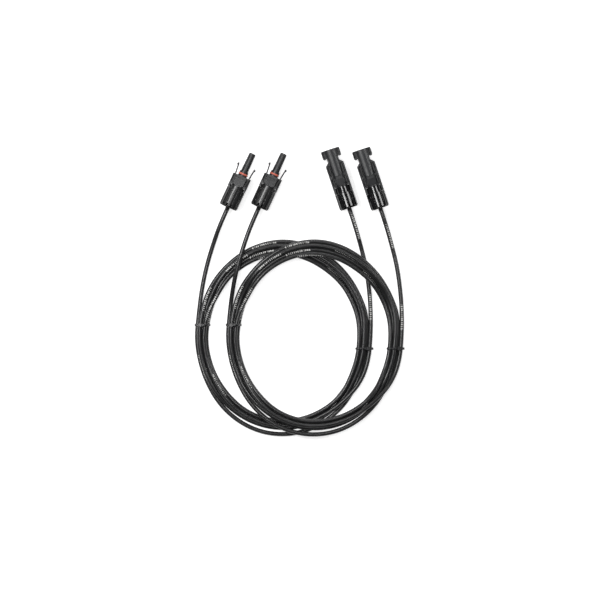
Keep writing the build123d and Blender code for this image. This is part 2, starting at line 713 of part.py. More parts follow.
    # Slots through the ears for the plug's latch fingers
    with BuildSketch(Plane.XY.offset(HEAD_REAR - EAR_HOOK - 1)):
        with Locations((-ear_mid, 0), (ear_mid, 0)):
            Rectangle(ear_out - ear_in, FINGER_H + 0.8)
    extrude(amount=HEAD_LEN + EAR_HOOK + 2, mode=Mode.SUBTRACT)
    # Stepped bore: seal, crimp, pin hole, nose chamber, mouth
    with BuildSketch(Plane.XZ):
        lathe(
            [
                (0, SPIGOT_REAR),
                (SEAL_BORE_R, SPIGOT_REAR),
                (SEAL_BORE_R, SEAL_FLOOR),
                (CONTACT_FLANGE_R + 0.15, SEAL_FLOOR),
                (CONTACT_FLANGE_R + 0.15, CHAMBER_STEP),
                (PIN_R + 0.3, CHAMBER_STEP),
                (PIN_R + 0.3, CHAMBER_FLOOR),
                (CHAMBER_R, CHAMBER_FLOOR),
                (CHAMBER_R, MOUTH_FLOOR),
                (MOUTH_R, MOUTH_FLOOR),
                (MOUTH_R, RECEPTACLE_LEN - MOUTH_CHAMFER),
                (MOUTH_R + MOUTH_CHAMFER, RECEPTACLE_LEN),
                (0, RECEPTACLE_LEN),
            ]
        )
    revolve(axis=Axis.Z, mode=Mode.SUBTRACT)

# ---------------------------------------------------------------- cable and ties


def corner_radii(route):
    """Largest arc that the two runs beside each corner allow."""
    points = [Vector(*point) for point in route]
    radii = []
    for before, corner, after in zip(points, points[1:], points[2:]):
        first, second = corner - before, after - corner
        half_turn = math.radians(first.get_angle(second)) / 2
        radii.append(0.45 * min(first.length, second.length) / math.tan(half_turn))
    return radii


def make_cable(name, route):
    """Cable along a hand-laid route, as straight runs joined by tangent arcs."""
    radii = corner_radii(route)
    with BuildPart() as cable:
        with BuildLine():
            path = FilletPolyline(*route, radius=radii)
        with BuildSketch(Plane(origin=path @ 0, z_dir=path % 0)):
            Circle(CABLE_DIA / 2)
        sweep()
    section_volume = math.pi * CABLE_DIA**2 / 4 * path.length
    print(name, "radii", [round(radius) for radius in radii], "length", round(path.length, 1))
    print(name, "volume over section times length", round(cable.part.volume / section_volume, 4))
    return cable.part


def ramp(start, end):
    """S-shaped ramp between two heights, level at both ends."""
    middle = (start[0] + end[0]) / 2
    Bezier(start, (middle, start[1]), (middle, end[1]), end)


def make_coil(near_lift, far_lift):
    """Coil as one closed form: an oval ring, two layers deep and one layer at its far side."""
    far_x, far_y = COIL_OUTER[0] + COIL_MARGIN, COIL_OUTER[1] + COIL_MARGIN
    with BuildPart() as coil:
        for direction, lift, thick in ((1, near_lift, TWO_LAYERS), (-1, far_lift, ONE_LAYER)):
            top = lift + thick
            with BuildSketch(Plane.XZ):
                with BuildLine():
                    Line((0, lift), (PLATEAU_X, lift))
                    ramp((PLATEAU_X, lift), (RAMP_END_X, 0))
                    Polyline((RAMP_END_X, 0), (far_x, 0), (far_x, TWO_LAYERS), (RAMP_END_X, TWO_LAYERS))
                    ramp((RAMP_END_X, TWO_LAYERS), (PLATEAU_X, top))
                    Line((PLATEAU_X, top), (0, top))
                    mirror(about=Plane.YZ)
                make_face()
            extrude(amount=direction * far_y)
        with BuildSketch():
            Ellipse(*COIL_OUTER)
            Ellipse(*COIL_INNER, mode=Mode.SUBTRACT)
        extrude(amount=near_lift + 2 * TWO_LAYERS, mode=Mode.INTERSECT)
    return coil.part.moved(Location((*COIL_CENTRE, 0)))


def make_tie(side, tie_y, head_x):
    """Cable tie round the whole bundle on one side of the coil (-1 left, 1 right)."""
    rise = tie_y - COIL_CENTRE[1]
    outer = COIL_OUTER[0] * math.sqrt(1 - (rise / COIL_OUTER[1]) ** 2)
    inner = COIL_INNER[0] * math.sqrt(1 - (rise / COIL_INNER[1]) ** 2)
    hold_w = outer - inner - 2 * TIE_SQUEEZE
    hold_h = TWO_LAYERS - TIE_SQUEEZE - TIE_BAND
    middle = (COIL_CENTRE[0] + side * (outer + inner) / 2, tie_y, 0)
    seat = Plane(origin=middle, x_dir=(1, 0, 0), z_dir=(0, -1, 0))
    head_w, head_l, head_h = TIE_HEAD
    top = hold_h + 2 * TIE_BAND
    with BuildPart() as tie:
        with BuildSketch(seat):
            with Locations((0, top / 2)):
                RectangleRounded(hold_w + 2 * TIE_BAND, top, TIE_ROUND)
                RectangleRounded(hold_w, hold_h, TIE_ROUND - TIE_BAND, mode=Mode.SUBTRACT)
        extrude(amount=TIE_W / 2, both=True)
        with BuildSketch(seat):
            with Locations((head_x, top + head_h / 2 - TIE_BAND / 2)):
                RectangleRounded(head_w, head_h, 0.5)
        extrude(amount=head_l / 2, both=True)
        with BuildSketch(seat):
            with Locations((head_x + (head_w + TIE_STUB_LEN) / 2, top + head_h / 2)):
                Rectangle(TIE_STUB_LEN, TIE_BAND)
        extrude(amount=TIE_W / 2, both=True)
    return tie.part


# ---------------------------------------------------------------- lay the leads out and write them


def laid(rear, heading, lead_x):
    """Seat of a connector lying on the surface: forward along its heading, upper side up."""
    turn = math.radians(heading)
    forward = (math.sin(turn), math.cos(turn), 0)
    right = (math.cos(turn), -math.sin(turn), 0)
    return Plane(origin=(rear[0] + lead_x, rear[1], LIE_Z), x_dir=right, z_dir=forward)


PLUG_PIECES = {
    "plug_housing": plug_housing.part,
    "plug_latch_left": plug_latch_left,
    "plug_latch_right": plug_latch_right,
    "plug_o_ring": plug_o_ring.part,
    "plug_contact_sleeve": plug_contact_sleeve.part,
    "plug_contact_spring": plug_contact_spring.part,
    "plug_conductor": conductor.part,
    "plug_cable_end": cable_end.part,
    "plug_cable_seal": cable_seal.part,
    "plug_clamp_cage": clamp_cage.part,
    "plug_gland_nut": plug_gland_nut,
}
RECEPTACLE_PIECES = {
    "receptacle_housing": receptacle_housing.part,
    "receptacle_contact_pin": receptacle_contact_pin.part,
    "receptacle_conductor": conductor.part,
    "receptacle_cable_end": cable_end.part,
    "receptacle_cable_seal": cable_seal.part,
    "receptacle_clamp_cage": clamp_cage.part,
    "receptacle_gland_nut": receptacle_gland_nut,
}
COIL_LIFTS = {1: (0.0, 0.0), 2: (TWO_LAYERS + FREE_GAP, ONE_LAYER + FREE_GAP)}


def write(lead, name, piece, place):
    """Move one finished piece to its place, name it and write it."""
    node = piece.moved(place)
    node.label = f"lead{lead}_{name}"
    export_step(node, f"parts/{node.label}.step")


os.makedirs("parts", exist_ok=True)
for lead in (1, 2):
    lead_x = LEAD_STEP * (lead - 1.5)
    plug_seat = laid(PLUG_REAR, PLUG_HEADING, lead_x).location
    receptacle_seat = laid(RECEPTACLE_REAR, RECEPTACLE_HEADING, lead_x).location
    lead_seat = Location((lead_x, 0, 0))
    for name, piece in PLUG_PIECES.items():
        write(lead, name, piece, plug_seat)
    for name, piece in RECEPTACLE_PIECES.items():
        write(lead, name, piece, receptacle_seat)
    write(lead, "plug_tail", make_cable("plug_tail", PLUG_TAIL_ROUTE[lead]), lead_seat)
    write(lead, "receptacle_tail", make_cable("receptacle_tail", RECEPTACLE_TAIL_ROUTE), lead_seat)
    write(lead, "coil", make_coil(*COIL_LIFTS[lead]), lead_seat)
    write(lead, "left_tie", make_tie(-1, LEFT_TIE_Y, LEFT_TIE_HEAD), lead_seat)
    write(lead, "right_tie", make_tie(1, RIGHT_TIE_Y, RIGHT_TIE_HEAD), lead_seat)
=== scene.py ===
import math

import bmesh
import bpy
import numpy as np
from mathutils import Matrix, Vector, geometry


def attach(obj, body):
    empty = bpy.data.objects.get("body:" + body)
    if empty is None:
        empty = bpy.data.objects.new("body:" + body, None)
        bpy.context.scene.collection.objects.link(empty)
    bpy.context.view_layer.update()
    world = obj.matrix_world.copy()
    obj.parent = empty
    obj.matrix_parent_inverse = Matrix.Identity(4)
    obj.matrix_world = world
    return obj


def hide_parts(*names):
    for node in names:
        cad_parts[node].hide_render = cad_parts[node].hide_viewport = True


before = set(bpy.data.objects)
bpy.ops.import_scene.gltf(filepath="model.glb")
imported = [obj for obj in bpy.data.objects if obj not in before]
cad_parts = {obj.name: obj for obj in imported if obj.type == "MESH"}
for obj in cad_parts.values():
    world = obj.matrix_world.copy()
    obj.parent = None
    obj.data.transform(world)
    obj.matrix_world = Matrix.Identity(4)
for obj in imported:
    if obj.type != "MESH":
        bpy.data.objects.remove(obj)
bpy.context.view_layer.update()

# A pair of identical solar extension leads.  Lead 2 lies on lead 1, one step to the right.
# Metres, in the frame of the CAD: +X right, +Y the way the connectors point, +Z up from the table.
# Sizes of the parts are in mm where a comment or the title of their section says so.

MM = 0.001
MM_PER_M = 1000.0
LEADS = {1: -16.5, 2: 16.5}  # lead's number and its offset in X, mm
AXIS_Z = 10.05  # height of the connectors' axes over the table, mm

# ---------------------------------------------------------------- camera, lights and world

VIEW_MM = 636.0  # side of the square of table that the camera sees
LENS_MM = 200.0
SENSOR_MM = 36.0
LOOK_AT = (-4.7 * MM, -128.3 * MM, 5 * MM)
FAR_CLIP = 20.0

# Name, place, aim, size and power of each light
STUDIO_LIGHTS = [
    ("softbox_left", (-0.72, 0.30, 1.5), (-0.05, -0.08, 0), (0.42, 0.60), 13.5),
    ("strip_above", (-0.29, -0.13, 1.5), (0.05, -0.05, 0), (0.16, 0.4), 4.2),
    ("softbox_right", (1.15, 0.36, 1.4), (0.05, -0.05, 0), (0.4, 0.5), 7.0),
    ("fill_panel", (0.1, 1.4, 1.0), (0, -0.1, 0), (1.5, 0.6), 11.0),
]
WHITE = (1, 1, 1, 1)
WORLD_STRENGTH = 0.06

camera_data = bpy.data.cameras.new("studio_camera")
camera_data.lens = LENS_MM
camera_data.sensor_width = SENSOR_MM
camera_data.clip_end = FAR_CLIP
camera = bpy.data.objects.new("studio_camera", camera_data)
camera.location = (LOOK_AT[0], LOOK_AT[1], LOOK_AT[2] + VIEW_MM * MM * LENS_MM / SENSOR_MM)
bpy.context.scene.collection.objects.link(camera)
bpy.context.scene.camera = camera


def softbox(name, place, aim, size, watts):
    """Rectangular studio light at a place, turned towards its aim."""
    data = bpy.data.lights.new(name, "AREA")
    data.shape = "RECTANGLE"
    data.size, data.size_y = size
    data.energy = watts
    lamp = bpy.data.objects.new(name, data)
    lamp.location = place
    lamp.rotation_euler = (Vector(aim) - Vector(place)).to_track_quat("-Z", "Y").to_euler()
    bpy.context.scene.collection.objects.link(lamp)


for light in STUDIO_LIGHTS:
    softbox(*light)

world = bpy.data.worlds.new("studio_world")
bpy.context.scene.world = world
world.use_nodes = True
world.node_tree.nodes["Background"].inputs["Color"].default_value = WHITE
world.node_tree.nodes["Background"].inputs["Strength"].default_value = WORLD_STRENGTH
bpy.context.scene.view_settings.view_transform = "Standard"

# ---------------------------------------------------------------- node helpers

FLOAT, INTEGER, VECTOR = "NodeSocketFloat", "NodeSocketInt", "NodeSocketVector"
GEOMETRY, MATERIAL = "NodeSocketGeometry", "NodeSocketMaterial"


def wire(tree, source, target):
    """Join an output (node, name) to an input (node, name)."""
    tree.links.new(source[0].outputs[source[1]], target[0].inputs[target[1]])


def is_output(value):
    """Whether a value is a (node, output name) pair."""
    return isinstance(value, tuple) and isinstance(value[0], bpy.types.Node)


def node(tree, kind, **settings):
    """New node; each setting is a property, the value of an input or the output that feeds it."""
    made = tree.nodes.new(kind)
    for key, value in settings.items():
        label = key.replace("_", " ")
        if is_output(value):
            wire(tree, value, (made, label))
        elif label in made.inputs:
            made.inputs[label].default_value = value
        else:
            setattr(made, key, value)
    return made


def math_node(tree, operation, *operands):
    """Math node whose operands are numbers or outputs; returns its output."""
    made = node(tree, "ShaderNodeMath", operation=operation)
    for slot, value in enumerate(operands):
        if is_output(value):
            wire(tree, value, (made, slot))
        else:
            made.inputs[slot].default_value = value
    return (made, "Value")


def distance_from(tree, source, place):
    """How far an output's value is from a place, without its sign; returns the output."""
    return math_node(tree, "ABSOLUTE", math_node(tree, "SUBTRACT", source, place))


MIX_COLOR_INPUTS = (6, 7)  # the sockets of a mix node that carry colours
MIX_COLOR_OUTPUT = 2


def mix_color(tree, factor, first, second):
    """Mix of two colours, or outputs of colour, by a factor; returns its output."""
    made = node(tree, "ShaderNodeMix", data_type="RGBA")
    wire(tree, factor, (made, "Factor"))
    for slot, value in zip(MIX_COLOR_INPUTS, (first, second)):
        if is_output(value):
            wire(tree, value, (made, slot))
        else:
            made.inputs[slot].default_value = (*value, 1.0)
    return (made, MIX_COLOR_OUTPUT)


def raised(tree, stand, height, **under):
    """Bump node that raises a height by a stand in mm over a normal; returns its output."""
    made = node(
        tree, "ShaderNodeBump", Strength=1.0, Distance=stand * MM, Height=height, **under
    )
    return (made, "Normal")


def new_group(kind, name, inputs, outputs):
    """Empty node group with named sockets; returns the tree, its input and its output node."""
    tree = bpy.data.node_groups.new(name, kind)
    for in_out, sockets in (("INPUT", inputs), ("OUTPUT", outputs)):
        for label, socket_type in sockets.items():
            tree.interface.new_socket(label, in_out=in_out, socket_type=socket_type)
    return tree, tree.nodes.new("NodeGroupInput"), tree.nodes.new("NodeGroupOutput")


# ---------------------------------------------------------------- shader groups

CLOUDS_PER_M = 90.0
RUB_PATCHES_PER_M = 420.0
RUB_GAIN = 5.0  # how fast the rubbed look and the painted edge highlight grow with the bend of an edge
SPECK_R = 0.12  # in cells of the dust's pattern
DUST_PATCHES_PER_M = 60.0
DUSTY_OVER = 0.56


def build_moulded_skin():
    """Fine spark-eroded grain with soft clouds of sheen: height and roughness of a moulded face."""
    tree, take, give = new_group(
        "ShaderNodeTree",
        "moulded_skin",
        {"Coordinate": VECTOR, "Grain Size": FLOAT, "Roughness": FLOAT, "Spread": FLOAT},
        {"Height": FLOAT, "Roughness": FLOAT, "Cloud": FLOAT},
    )
    place = (take, "Coordinate")
    per_metre = math_node(tree, "DIVIDE", MM_PER_M, (take, "Grain Size"))
    grain = node(
        tree, "ShaderNodeTexNoise", Vector=place, Scale=per_metre, Detail=3.0, Roughness=0.6
    )
    cloud = node(
        tree, "ShaderNodeTexNoise", Vector=place, Scale=CLOUDS_PER_M, Detail=4.0, Roughness=0.55
    )
    both = math_node(tree, "ADD", (grain, "Fac"), (cloud, "Fac"))
    centred = math_node(tree, "SUBTRACT", both, 1.0)
    rough = math_node(tree, "MULTIPLY_ADD", centred, (take, "Spread"), (take, "Roughness"))
    wire(tree, (grain, "Fac"), (give, "Height"))
    wire(tree, rough, (give, "Roughness"))
    wire(tree, (cloud, "Fac"), (give, "Cloud"))
    return tree


def build_rubbed_and_lit_edge():
    """Mask of the outer edges, made paler partly for wear from handling and partly as a painted
    highlight where edges catch light, and the softened normal of edges.
    """
    tree, take, give = new_group(
        "ShaderNodeTree",
        "rubbed_edge",
        {"Coordinate": VECTOR, "Width": FLOAT},
        {"Edge": FLOAT, "Normal": VECTOR},
    )
    soft = node(tree, "ShaderNodeBevel", samples=6, Radius=(take, "Width"))
    plain = tree.nodes.new("ShaderNodeNewGeometry")
    dot = node(tree, "ShaderNodeVectorMath", operation="DOT_PRODUCT")
    wire(tree, (soft, "Normal"), (dot, 0))
    wire(tree, (plain, "Normal"), (dot, 1))
    bend = math_node(tree, "SUBTRACT", 1.0, (dot, "Value"))
    patch = node(
        tree,
        "ShaderNodeTexNoise",
        Vector=(take, "Coordinate"),
        Scale=RUB_PATCHES_PER_M,
        Detail=3.0,
        Roughness=0.7,
    )
    strong = math_node(tree, "MULTIPLY", bend, RUB_GAIN)
    edge = math_node(tree, "MULTIPLY", strong, (patch, "Fac"))
    wire(tree, math_node(tree, "MINIMUM", edge, 1.0), (give, "Edge"))
    wire(tree, (soft, "Normal"), (give, "Normal"))
    return tree


def build_table_dust():
    """Sparse specks of pale dust, thicker in soft patches."""
    tree, take, give = new_group(
        "ShaderNodeTree",
        "table_dust",
        {"Coordinate": VECTOR, "Specks": FLOAT, "Amount": FLOAT},
        {"Dust": FLOAT},
    )
    place = (take, "Coordinate")
    speck = node(tree, "ShaderNodeTexVoronoi", Vector=place, Scale=(take, "Specks"))
    small = math_node(tree, "LESS_THAN", (speck, "Distance"), SPECK_R)
    patch = node(
        tree, "ShaderNodeTexNoise", Vector=place, Scale=DUST_PATCHES_PER_M, Detail=2.0
    )
    dusty = math_node(tree, "GREATER_THAN", (patch, "Fac"), DUSTY_OVER)
    both = math_node(tree, "MULTIPLY", small, dusty)
    wire(tree, math_node(tree, "MULTIPLY", both, (take, "Amount")), (give, "Dust"))
    return tree


MOULDED_SKIN = build_moulded_skin()
RUBBED_AND_LIT_EDGE = build_rubbed_and_lit_edge()
TABLE_DUST = build_table_dust()

# ---------------------------------------------------------------- materials

EDGE_BARE_AND_LIT_GAIN = 1.5  # the colour of an edge, partly rubbed wear and partly painted highlight, is this many times the pale colour, and a lift more
EDGE_BARE_AND_LIT_LIFT = 0.006
PLASTIC_DUST = {"Specks": 1100.0, "Amount": 0.05}
PLASTIC_DUST_COLOR = (0.55, 0.54, 0.52)

# Both housings part in the plane of their axes, and have smooth panels over and under it (mm)
PARTING_HALF_W = 0.06
PARTING_STAND = 0.05
PANEL_STAND = 7.85
PANEL_BAND = 0.08
PANEL_POLISH = -0.16  # added to the roughness of a panel
PANEL_GRAIN = -0.85  # added to the share of grain that a panel keeps

# Metal: size of its grain, radius of its edges and height of its turning marks, in mm
METAL_GRAIN = 0.15
METAL_SPREAD = 0.12
METAL_EDGE_R = 0.12
TURNING_STAND = 0.004

JACKET_BLACK = (0.012, 0.012, 0.0125)
JACKET_PALE = (0.027, 0.027, 0.028)
JACKET_SKIN = {"Grain_Size": 0.5, "Roughness": 0.3, "Spread": 0.08}
JACKET_DUST = {"Specks": 900.0, "Amount": 0.12}
JACKET_DUST_COLOR = (0.4, 0.4, 0.39)
DRAW_LINE_SCALE = (14.0, 90.0, 1.0)  # along the cable and round it
DRAW_LINE_STAND = 0.014  # mm

# The print of the jacket is a row of plain ticks, in runs.  Steps and lengths are in metres.
RUN_STEP = 0.088
RUN_LEN = 0.028
TICK_STEP = 0.0021
TICK_SHARE = 0.15  # length of the shortest tick as a share of its step
TICK_SHARE_SPREAD = 0.6
TICK_HALF_H = 0.088  # half height of the tallest tick, in turns round the cable
TICK_HALF_H_SPREAD = -0.03
INK = (0.74, 0.74, 0.72)
INK_COVER = 0.05
INK_COVER_SPREAD = 1.5
INK_MOST = 0.95

TABLE_TINTS = ((0.86, 0.86, 0.86), (0.9, 0.9, 0.9))
TABLE_ROUGHNESS = 0.9
TABLE_GLOW = 0.66


def placed(tree, group, place, **values):
    """A node group placed in a material, with its coordinate and its own values."""
    return node(tree, "ShaderNodeGroup", node_tree=group, Coordinate=place, **values)


def blank_material(name):
    """New material; returns it, its tree, its Principled shader and the object's coordinate."""
    made = bpy.data.materials.new(name)
    made.use_nodes = True
    where = (made.node_tree.nodes.new("ShaderNodeTexCoord"), "Object")
    return made, made.node_tree, made.node_tree.nodes["Principled BSDF"], where


def moulded_material(name, deep, pale, roughness, spread, grain, depth, edge_r, housing=False):
    """Moulded plastic or rubber: clouded colour, grain, softened edges made paler partly as rubbed
    wear and partly as a painted highlight, and a little dust.

    The grain's size and depth and the radius of the edges are in mm.  A housing has the parting
    line of its mould and smooth panels as well.
    """
    made, tree, shader, where = blank_material(name)
    skin = placed(
        tree, MOULDED_SKIN, where, Grain_Size=grain, Roughness=roughness, Spread=spread
    )
    edge = placed(tree, RUBBED_AND_LIT_EDGE, where, Width=edge_r * MM)
    dust = placed(tree, TABLE_DUST, where, **PLASTIC_DUST)
    # edges are made paler, partly for rubbed wear and partly as a painted highlight where they
    # catch light
    bare_and_lit = tuple(min(1.0, EDGE_BARE_AND_LIT_GAIN * c + EDGE_BARE_AND_LIT_LIFT) for c in pale)
    clouded = mix_color(tree, (skin, "Cloud"), deep, pale)
    rubbed_and_lit = mix_color(tree, (edge, "Edge"), clouded, bare_and_lit)
    dusty = mix_color(tree, (dust, "Dust"), rubbed_and_lit, PLASTIC_DUST_COLOR)
    wire(tree, dusty, (shader, "Base Color"))

    height, polish, normal = (skin, "Height"), (skin, "Roughness"), (edge, "Normal")
    if housing:
        split = node(tree, "ShaderNodeSeparateXYZ", Vector=where)
        off_axis = distance_from(tree, (split, "Z"), AXIS_Z * MM)
        flash = math_node(tree, "LESS_THAN", off_axis, PARTING_HALF_W * MM)
        off_panel = distance_from(tree, off_axis, PANEL_STAND * MM)
        panel = math_node(tree, "LESS_THAN", off_panel, PANEL_BAND * MM)
        polish = math_node(tree, "MULTIPLY_ADD", panel, PANEL_POLISH, polish)
        kept_grain = math_node(tree, "MULTIPLY_ADD", panel, PANEL_GRAIN, 1.0)
        height = math_node(tree, "MULTIPLY", height, kept_grain)
    normal = raised(tree, depth, height, Normal=normal)
    if housing:
        normal = raised(tree, PARTING_STAND, flash, Normal=normal)
    wire(tree, polish, (shader, "Roughness"))
    wire(tree, normal, (shader, "Normal"))
    return made


def metal_material(name, deep, pale, roughness, turned):
    """Plated or bare metal with fine turning marks and clouded tarnish."""
    made, tree, shader, where = blank_material(name)
    skin = placed(
        tree,
        MOULDED_SKIN,
        where,
        Grain_Size=METAL_GRAIN,
        Roughness=roughness,
        Spread=METAL_SPREAD,
    )
    edge = placed(tree, RUBBED_AND_LIT_EDGE, where, Width=METAL_EDGE_R * MM)
    lines = node(
        tree, "ShaderNodeTexWave", Vector=where, Scale=turned, Distortion=1.5, Detail=2.0
    )
    wire(tree, mix_color(tree, (skin, "Cloud"), deep, pale), (shader, "Base Color"))
    wire(tree, (skin, "Roughness"), (shader, "Roughness"))
    shader.inputs["Metallic"].default_value = 1.0
    normal = raised(tree, TURNING_STAND, (lines, "Fac"), Normal=(edge, "Normal"))
    wire(tree, normal, (shader, "Normal"))
    return made


def cable_jacket_material():
    """Extruded satin jacket: draw lines along the cable, soft clouds and a worn row of ticks."""
    made, tree, shader, where = blank_material("cable_jacket")
    unwrap = (node(tree, "ShaderNodeUVMap", uv_map="jacket"), "UV")
    split = node(tree, "ShaderNodeSeparateXYZ", Vector=unwrap)
    along, around = (split, "X"), (split, "Y")
    stretch = node(tree, "ShaderNodeMapping", Vector=unwrap, Scale=DRAW_LINE_SCALE)
    draw_lines = node(
        tree,
        "ShaderNodeTexNoise",
        Vector=(stretch, "Vector"),
        Scale=1.0,
        Detail=3.0,
        Roughness=0.6,
    )
    skin = placed(tree, MOULDED_SKIN, where, **JACKET_SKIN)
    dust = placed(tree, TABLE_DUST, where, **JACKET_DUST)

    run_place = math_node(tree, "PINGPONG", along, RUN_STEP / 2)
    in_run = math_node(tree, "LESS_THAN", run_place, RUN_LEN / 2)
    tick_count = math_node(tree, "MULTIPLY", along, 1 / TICK_STEP)
    tick_place = math_node(tree, "FRACT", tick_count)
    tick_number = math_node(tree, "FLOOR", tick_count)
    uneven = (
        node(tree, "ShaderNodeTexWhiteNoise", noise_dimensions="1D", W=tick_number),
        "Value",
    )
    tick_end = math_node(tree, "MULTIPLY_ADD", uneven, TICK_SHARE_SPREAD, TICK_SHARE)
    in_tick = math_node(tree, "LESS_THAN", tick_place, tick_end)
    tick_side = math_node(tree, "MULTIPLY_ADD", uneven, TICK_HALF_H_SPREAD, TICK_HALF_H)
    on_line = math_node(tree, "LESS_THAN", distance_from(tree, around, 0.5), tick_side)
    in_row = math_node(tree, "MULTIPLY", in_run, in_tick)
    printed = math_node(tree, "MULTIPLY", in_row, on_line)
    worn = math_node(tree, "MULTIPLY_ADD", (draw_lines, "Fac"), INK_COVER_SPREAD, INK_COVER)
    ink = math_node(tree, "MULTIPLY", printed, math_node(tree, "MINIMUM", worn, INK_MOST))

    jacket = mix_color(tree, (skin, "Cloud"), JACKET_BLACK, JACKET_PALE)
    inked = mix_color(tree, ink, jacket, INK)
    dusty = mix_color(tree, (dust, "Dust"), inked, JACKET_DUST_COLOR)
    wire(tree, dusty, (shader, "Base Color"))
    wire(tree, (skin, "Roughness"), (shader, "Roughness"))
    wire(tree, raised(tree, DRAW_LINE_STAND, (draw_lines, "Fac")), (shader, "Normal"))
    return made


def table_material():
    """Pale table top with a faint grain; white where the camera looks at it, with its shadows."""
    made, tree, shader, where = blank_material("table_top")
    cloud = node(tree, "ShaderNodeTexNoise", Vector=where, Scale=2.0, Detail=2.0)
    wire(tree, mix_color(tree, (cloud, "Fac"), *TABLE_TINTS), (shader, "Base Color"))
    shader.inputs["Roughness"].default_value = TABLE_ROUGHNESS
    shader.inputs["Emission Color"].default_value = WHITE
    seen = tree.nodes.new("ShaderNodeLightPath")
    either = math_node(tree, "MAXIMUM", (seen, "Is Camera Ray"), (seen, "Is Glossy Ray"))
    glow = math_node(tree, "MULTIPLY", either, TABLE_GLOW)
    wire(tree, glow, (shader, "Emission Strength"))
    return made


CABLE_JACKET = cable_jacket_material()

# Name, deep and pale colour, and the surface: roughness and its spread, then the grain's size, its
# depth and the radius of edges in mm
MOULDED_FINISHES = {
    "cable_end": (
        "cable_jacket_end",
        JACKET_BLACK,
        JACKET_PALE,
        (0.33, 0.16, 0.5, 0.02, 0.2),
    ),
    "tie": (
        "tie_nylon",
        (0.006, 0.006, 0.007),
        (0.016, 0.016, 0.018),
        (0.28, 0.15, 0.6, 0.01, 0.25),
    ),
    "housing": (
        "housing_plastic",
        (0.012, 0.0125, 0.014),
        (0.028, 0.029, 0.031),
        (0.38, 0.12, 0.16, 0.01, 0.2),
    ),
    # the plug's nut is the same part as the receptacle's; its paler colour is a painted broad
    # highlight
    "plug_nut": (
        "nut_satin",
        (0.012, 0.012, 0.0125),
        (0.024, 0.024, 0.025),
        (0.29, 0.06, 1.2, 0.002, 0.15),
    ),
    "receptacle_nut": (
        "nut_gloss",
        (0.005, 0.005, 0.0055),
        (0.012, 0.012, 0.013),
        (0.14, 0.04, 1.6, 0.001, 0.15),
    ),
    "ring": (
        "ring_silicone",
        (0.56, 0.115, 0.075),
        (0.70, 0.19, 0.135),
        (0.42, 0.1, 0.3, 0.01, 0.2),
    ),
    "seal": (
        "seal_rubber",
        (0.02, 0.02, 0.021),
        (0.045, 0.045, 0.047),
        (0.6, 0.1, 0.3, 0.02, 0.2),
    ),
    "cage": (
        "cage_plastic",
        (0.05, 0.05, 0.054),
        (0.085, 0.085, 0.09),
        (0.5, 0.1, 0.2, 0.012, 0.2),
    ),
}
MOULDED = {
    key: moulded_material(name, deep, pale, *surface, housing=key == "housing")
    for key, (name, deep, pale, surface) in MOULDED_FINISHES.items()
}
TIN = metal_material("contact_tin", (0.62, 0.61, 0.58), (0.78, 0.77, 0.74), 0.28, 900.0)
SPRING_ALLOY = metal_material("spring_alloy", (0.66, 0.46, 0.2), (0.85, 0.64, 0.32), 0.3, 700.0)
COPPER = metal_material("tinned_strands", (0.55, 0.5, 0.44), (0.72, 0.68, 0.62), 0.4, 1500.0)

NODE_MATERIALS = {
    "plug_housing": MOULDED["housing"],
    "receptacle_housing": MOULDED["housing"],
    "plug_latch_left": MOULDED["housing"],
    "plug_latch_right": MOULDED["housing"],
    "plug_o_ring": MOULDED["ring"],
    "plug_gland_nut": MOULDED["plug_nut"],
    "receptacle_gland_nut": MOULDED["receptacle_nut"],
    "plug_cable_seal": MOULDED["seal"],
    "receptacle_cable_seal": MOULDED["seal"],
    "plug_clamp_cage": MOULDED["cage"],
    "receptacle_clamp_cage": MOULDED["cage"],
    "plug_contact_sleeve": TIN,
    "receptacle_contact_pin": TIN,
    "plug_contact_spring": SPRING_ALLOY,
    "plug_conductor": COPPER,
    "receptacle_conductor": COPPER,
    "plug_cable_end": MOULDED["cable_end"],
    "receptacle_cable_end": MOULDED["cable_end"],
    "left_tie": MOULDED["tie"],
    "right_tie": MOULDED["tie"],
    "plug_tail": MOULDED["cable_end"],
    "coil": MOULDED["cable_end"],
    "receptacle_tail": MOULDED["cable_end"],
}

for lead in LEADS:
    for name, finish in NODE_MATERIALS.items():
        for material_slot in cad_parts[f"lead{lead}_{name}"].material_slots:
            material_slot.material = finish

# ---------------------------------------------------------------- table

TABLE_REACH = 6.0
TABLE_CORNERS = [(-1, -1), (1, -1), (1, 1), (-1, 1)]

table_mesh = bpy.data.meshes.new("table_top")
table_mesh.from_pydata(
    [(x * TABLE_REACH, y * TABLE_REACH, 0) for x, y in TABLE_CORNERS], [], [(0, 1, 2, 3)]
)
table_mesh.materials.append(table_material())
table = bpy.data.objects.new("table_top", table_mesh)
bpy.context.scene.collection.objects.link(table)

# ---------------------------------------------------------------- the cable of each lead (mm)

CABLE_R = 2.35
JACKET_SIDES = 20
ROUTE_STEPS = 7  # of the route from one control point to the next

# Listed points of the free stretches, for one lead, from the nut's rear face to the coil (mm)
PLUG_STRETCH = {
    1: [
        (-64.50, -30.25, AXIS_Z),
        (-72.46, -47.50, AXIS_Z),
        (-80.16, -68.75, 4.6),
        (-87.16, -91.75, 2.5),
        (-92.56, -117.75, 2.45),
        (-95.66, -143.75, 3.3),
    ],
    2: [
        (-64.50, -30.25, AXIS_Z),
        (-72.46, -47.50, AXIS_Z),
        (-80.16, -68.75, 10.8),
        (-87.16, -91.75, 11.9),
        (-91.66, -112.25, 8.6),
        (-94.46, -130.75, 3.0),
        (-96.06, -146.25, 3.3),
    ],
}
RECEPTACLE_STRETCH = [
    (63.87, -31.10, AXIS_Z),
    (69.87, -49.13, AXIS_Z),
    (75.94, -69.75, 2.6),
    (81.64, -92.25, 2.45),
    (85.24, -117.75, 2.5),
    (86.94, -142.25, 2.45),
    (86.74, -165.25, 3.2),
]

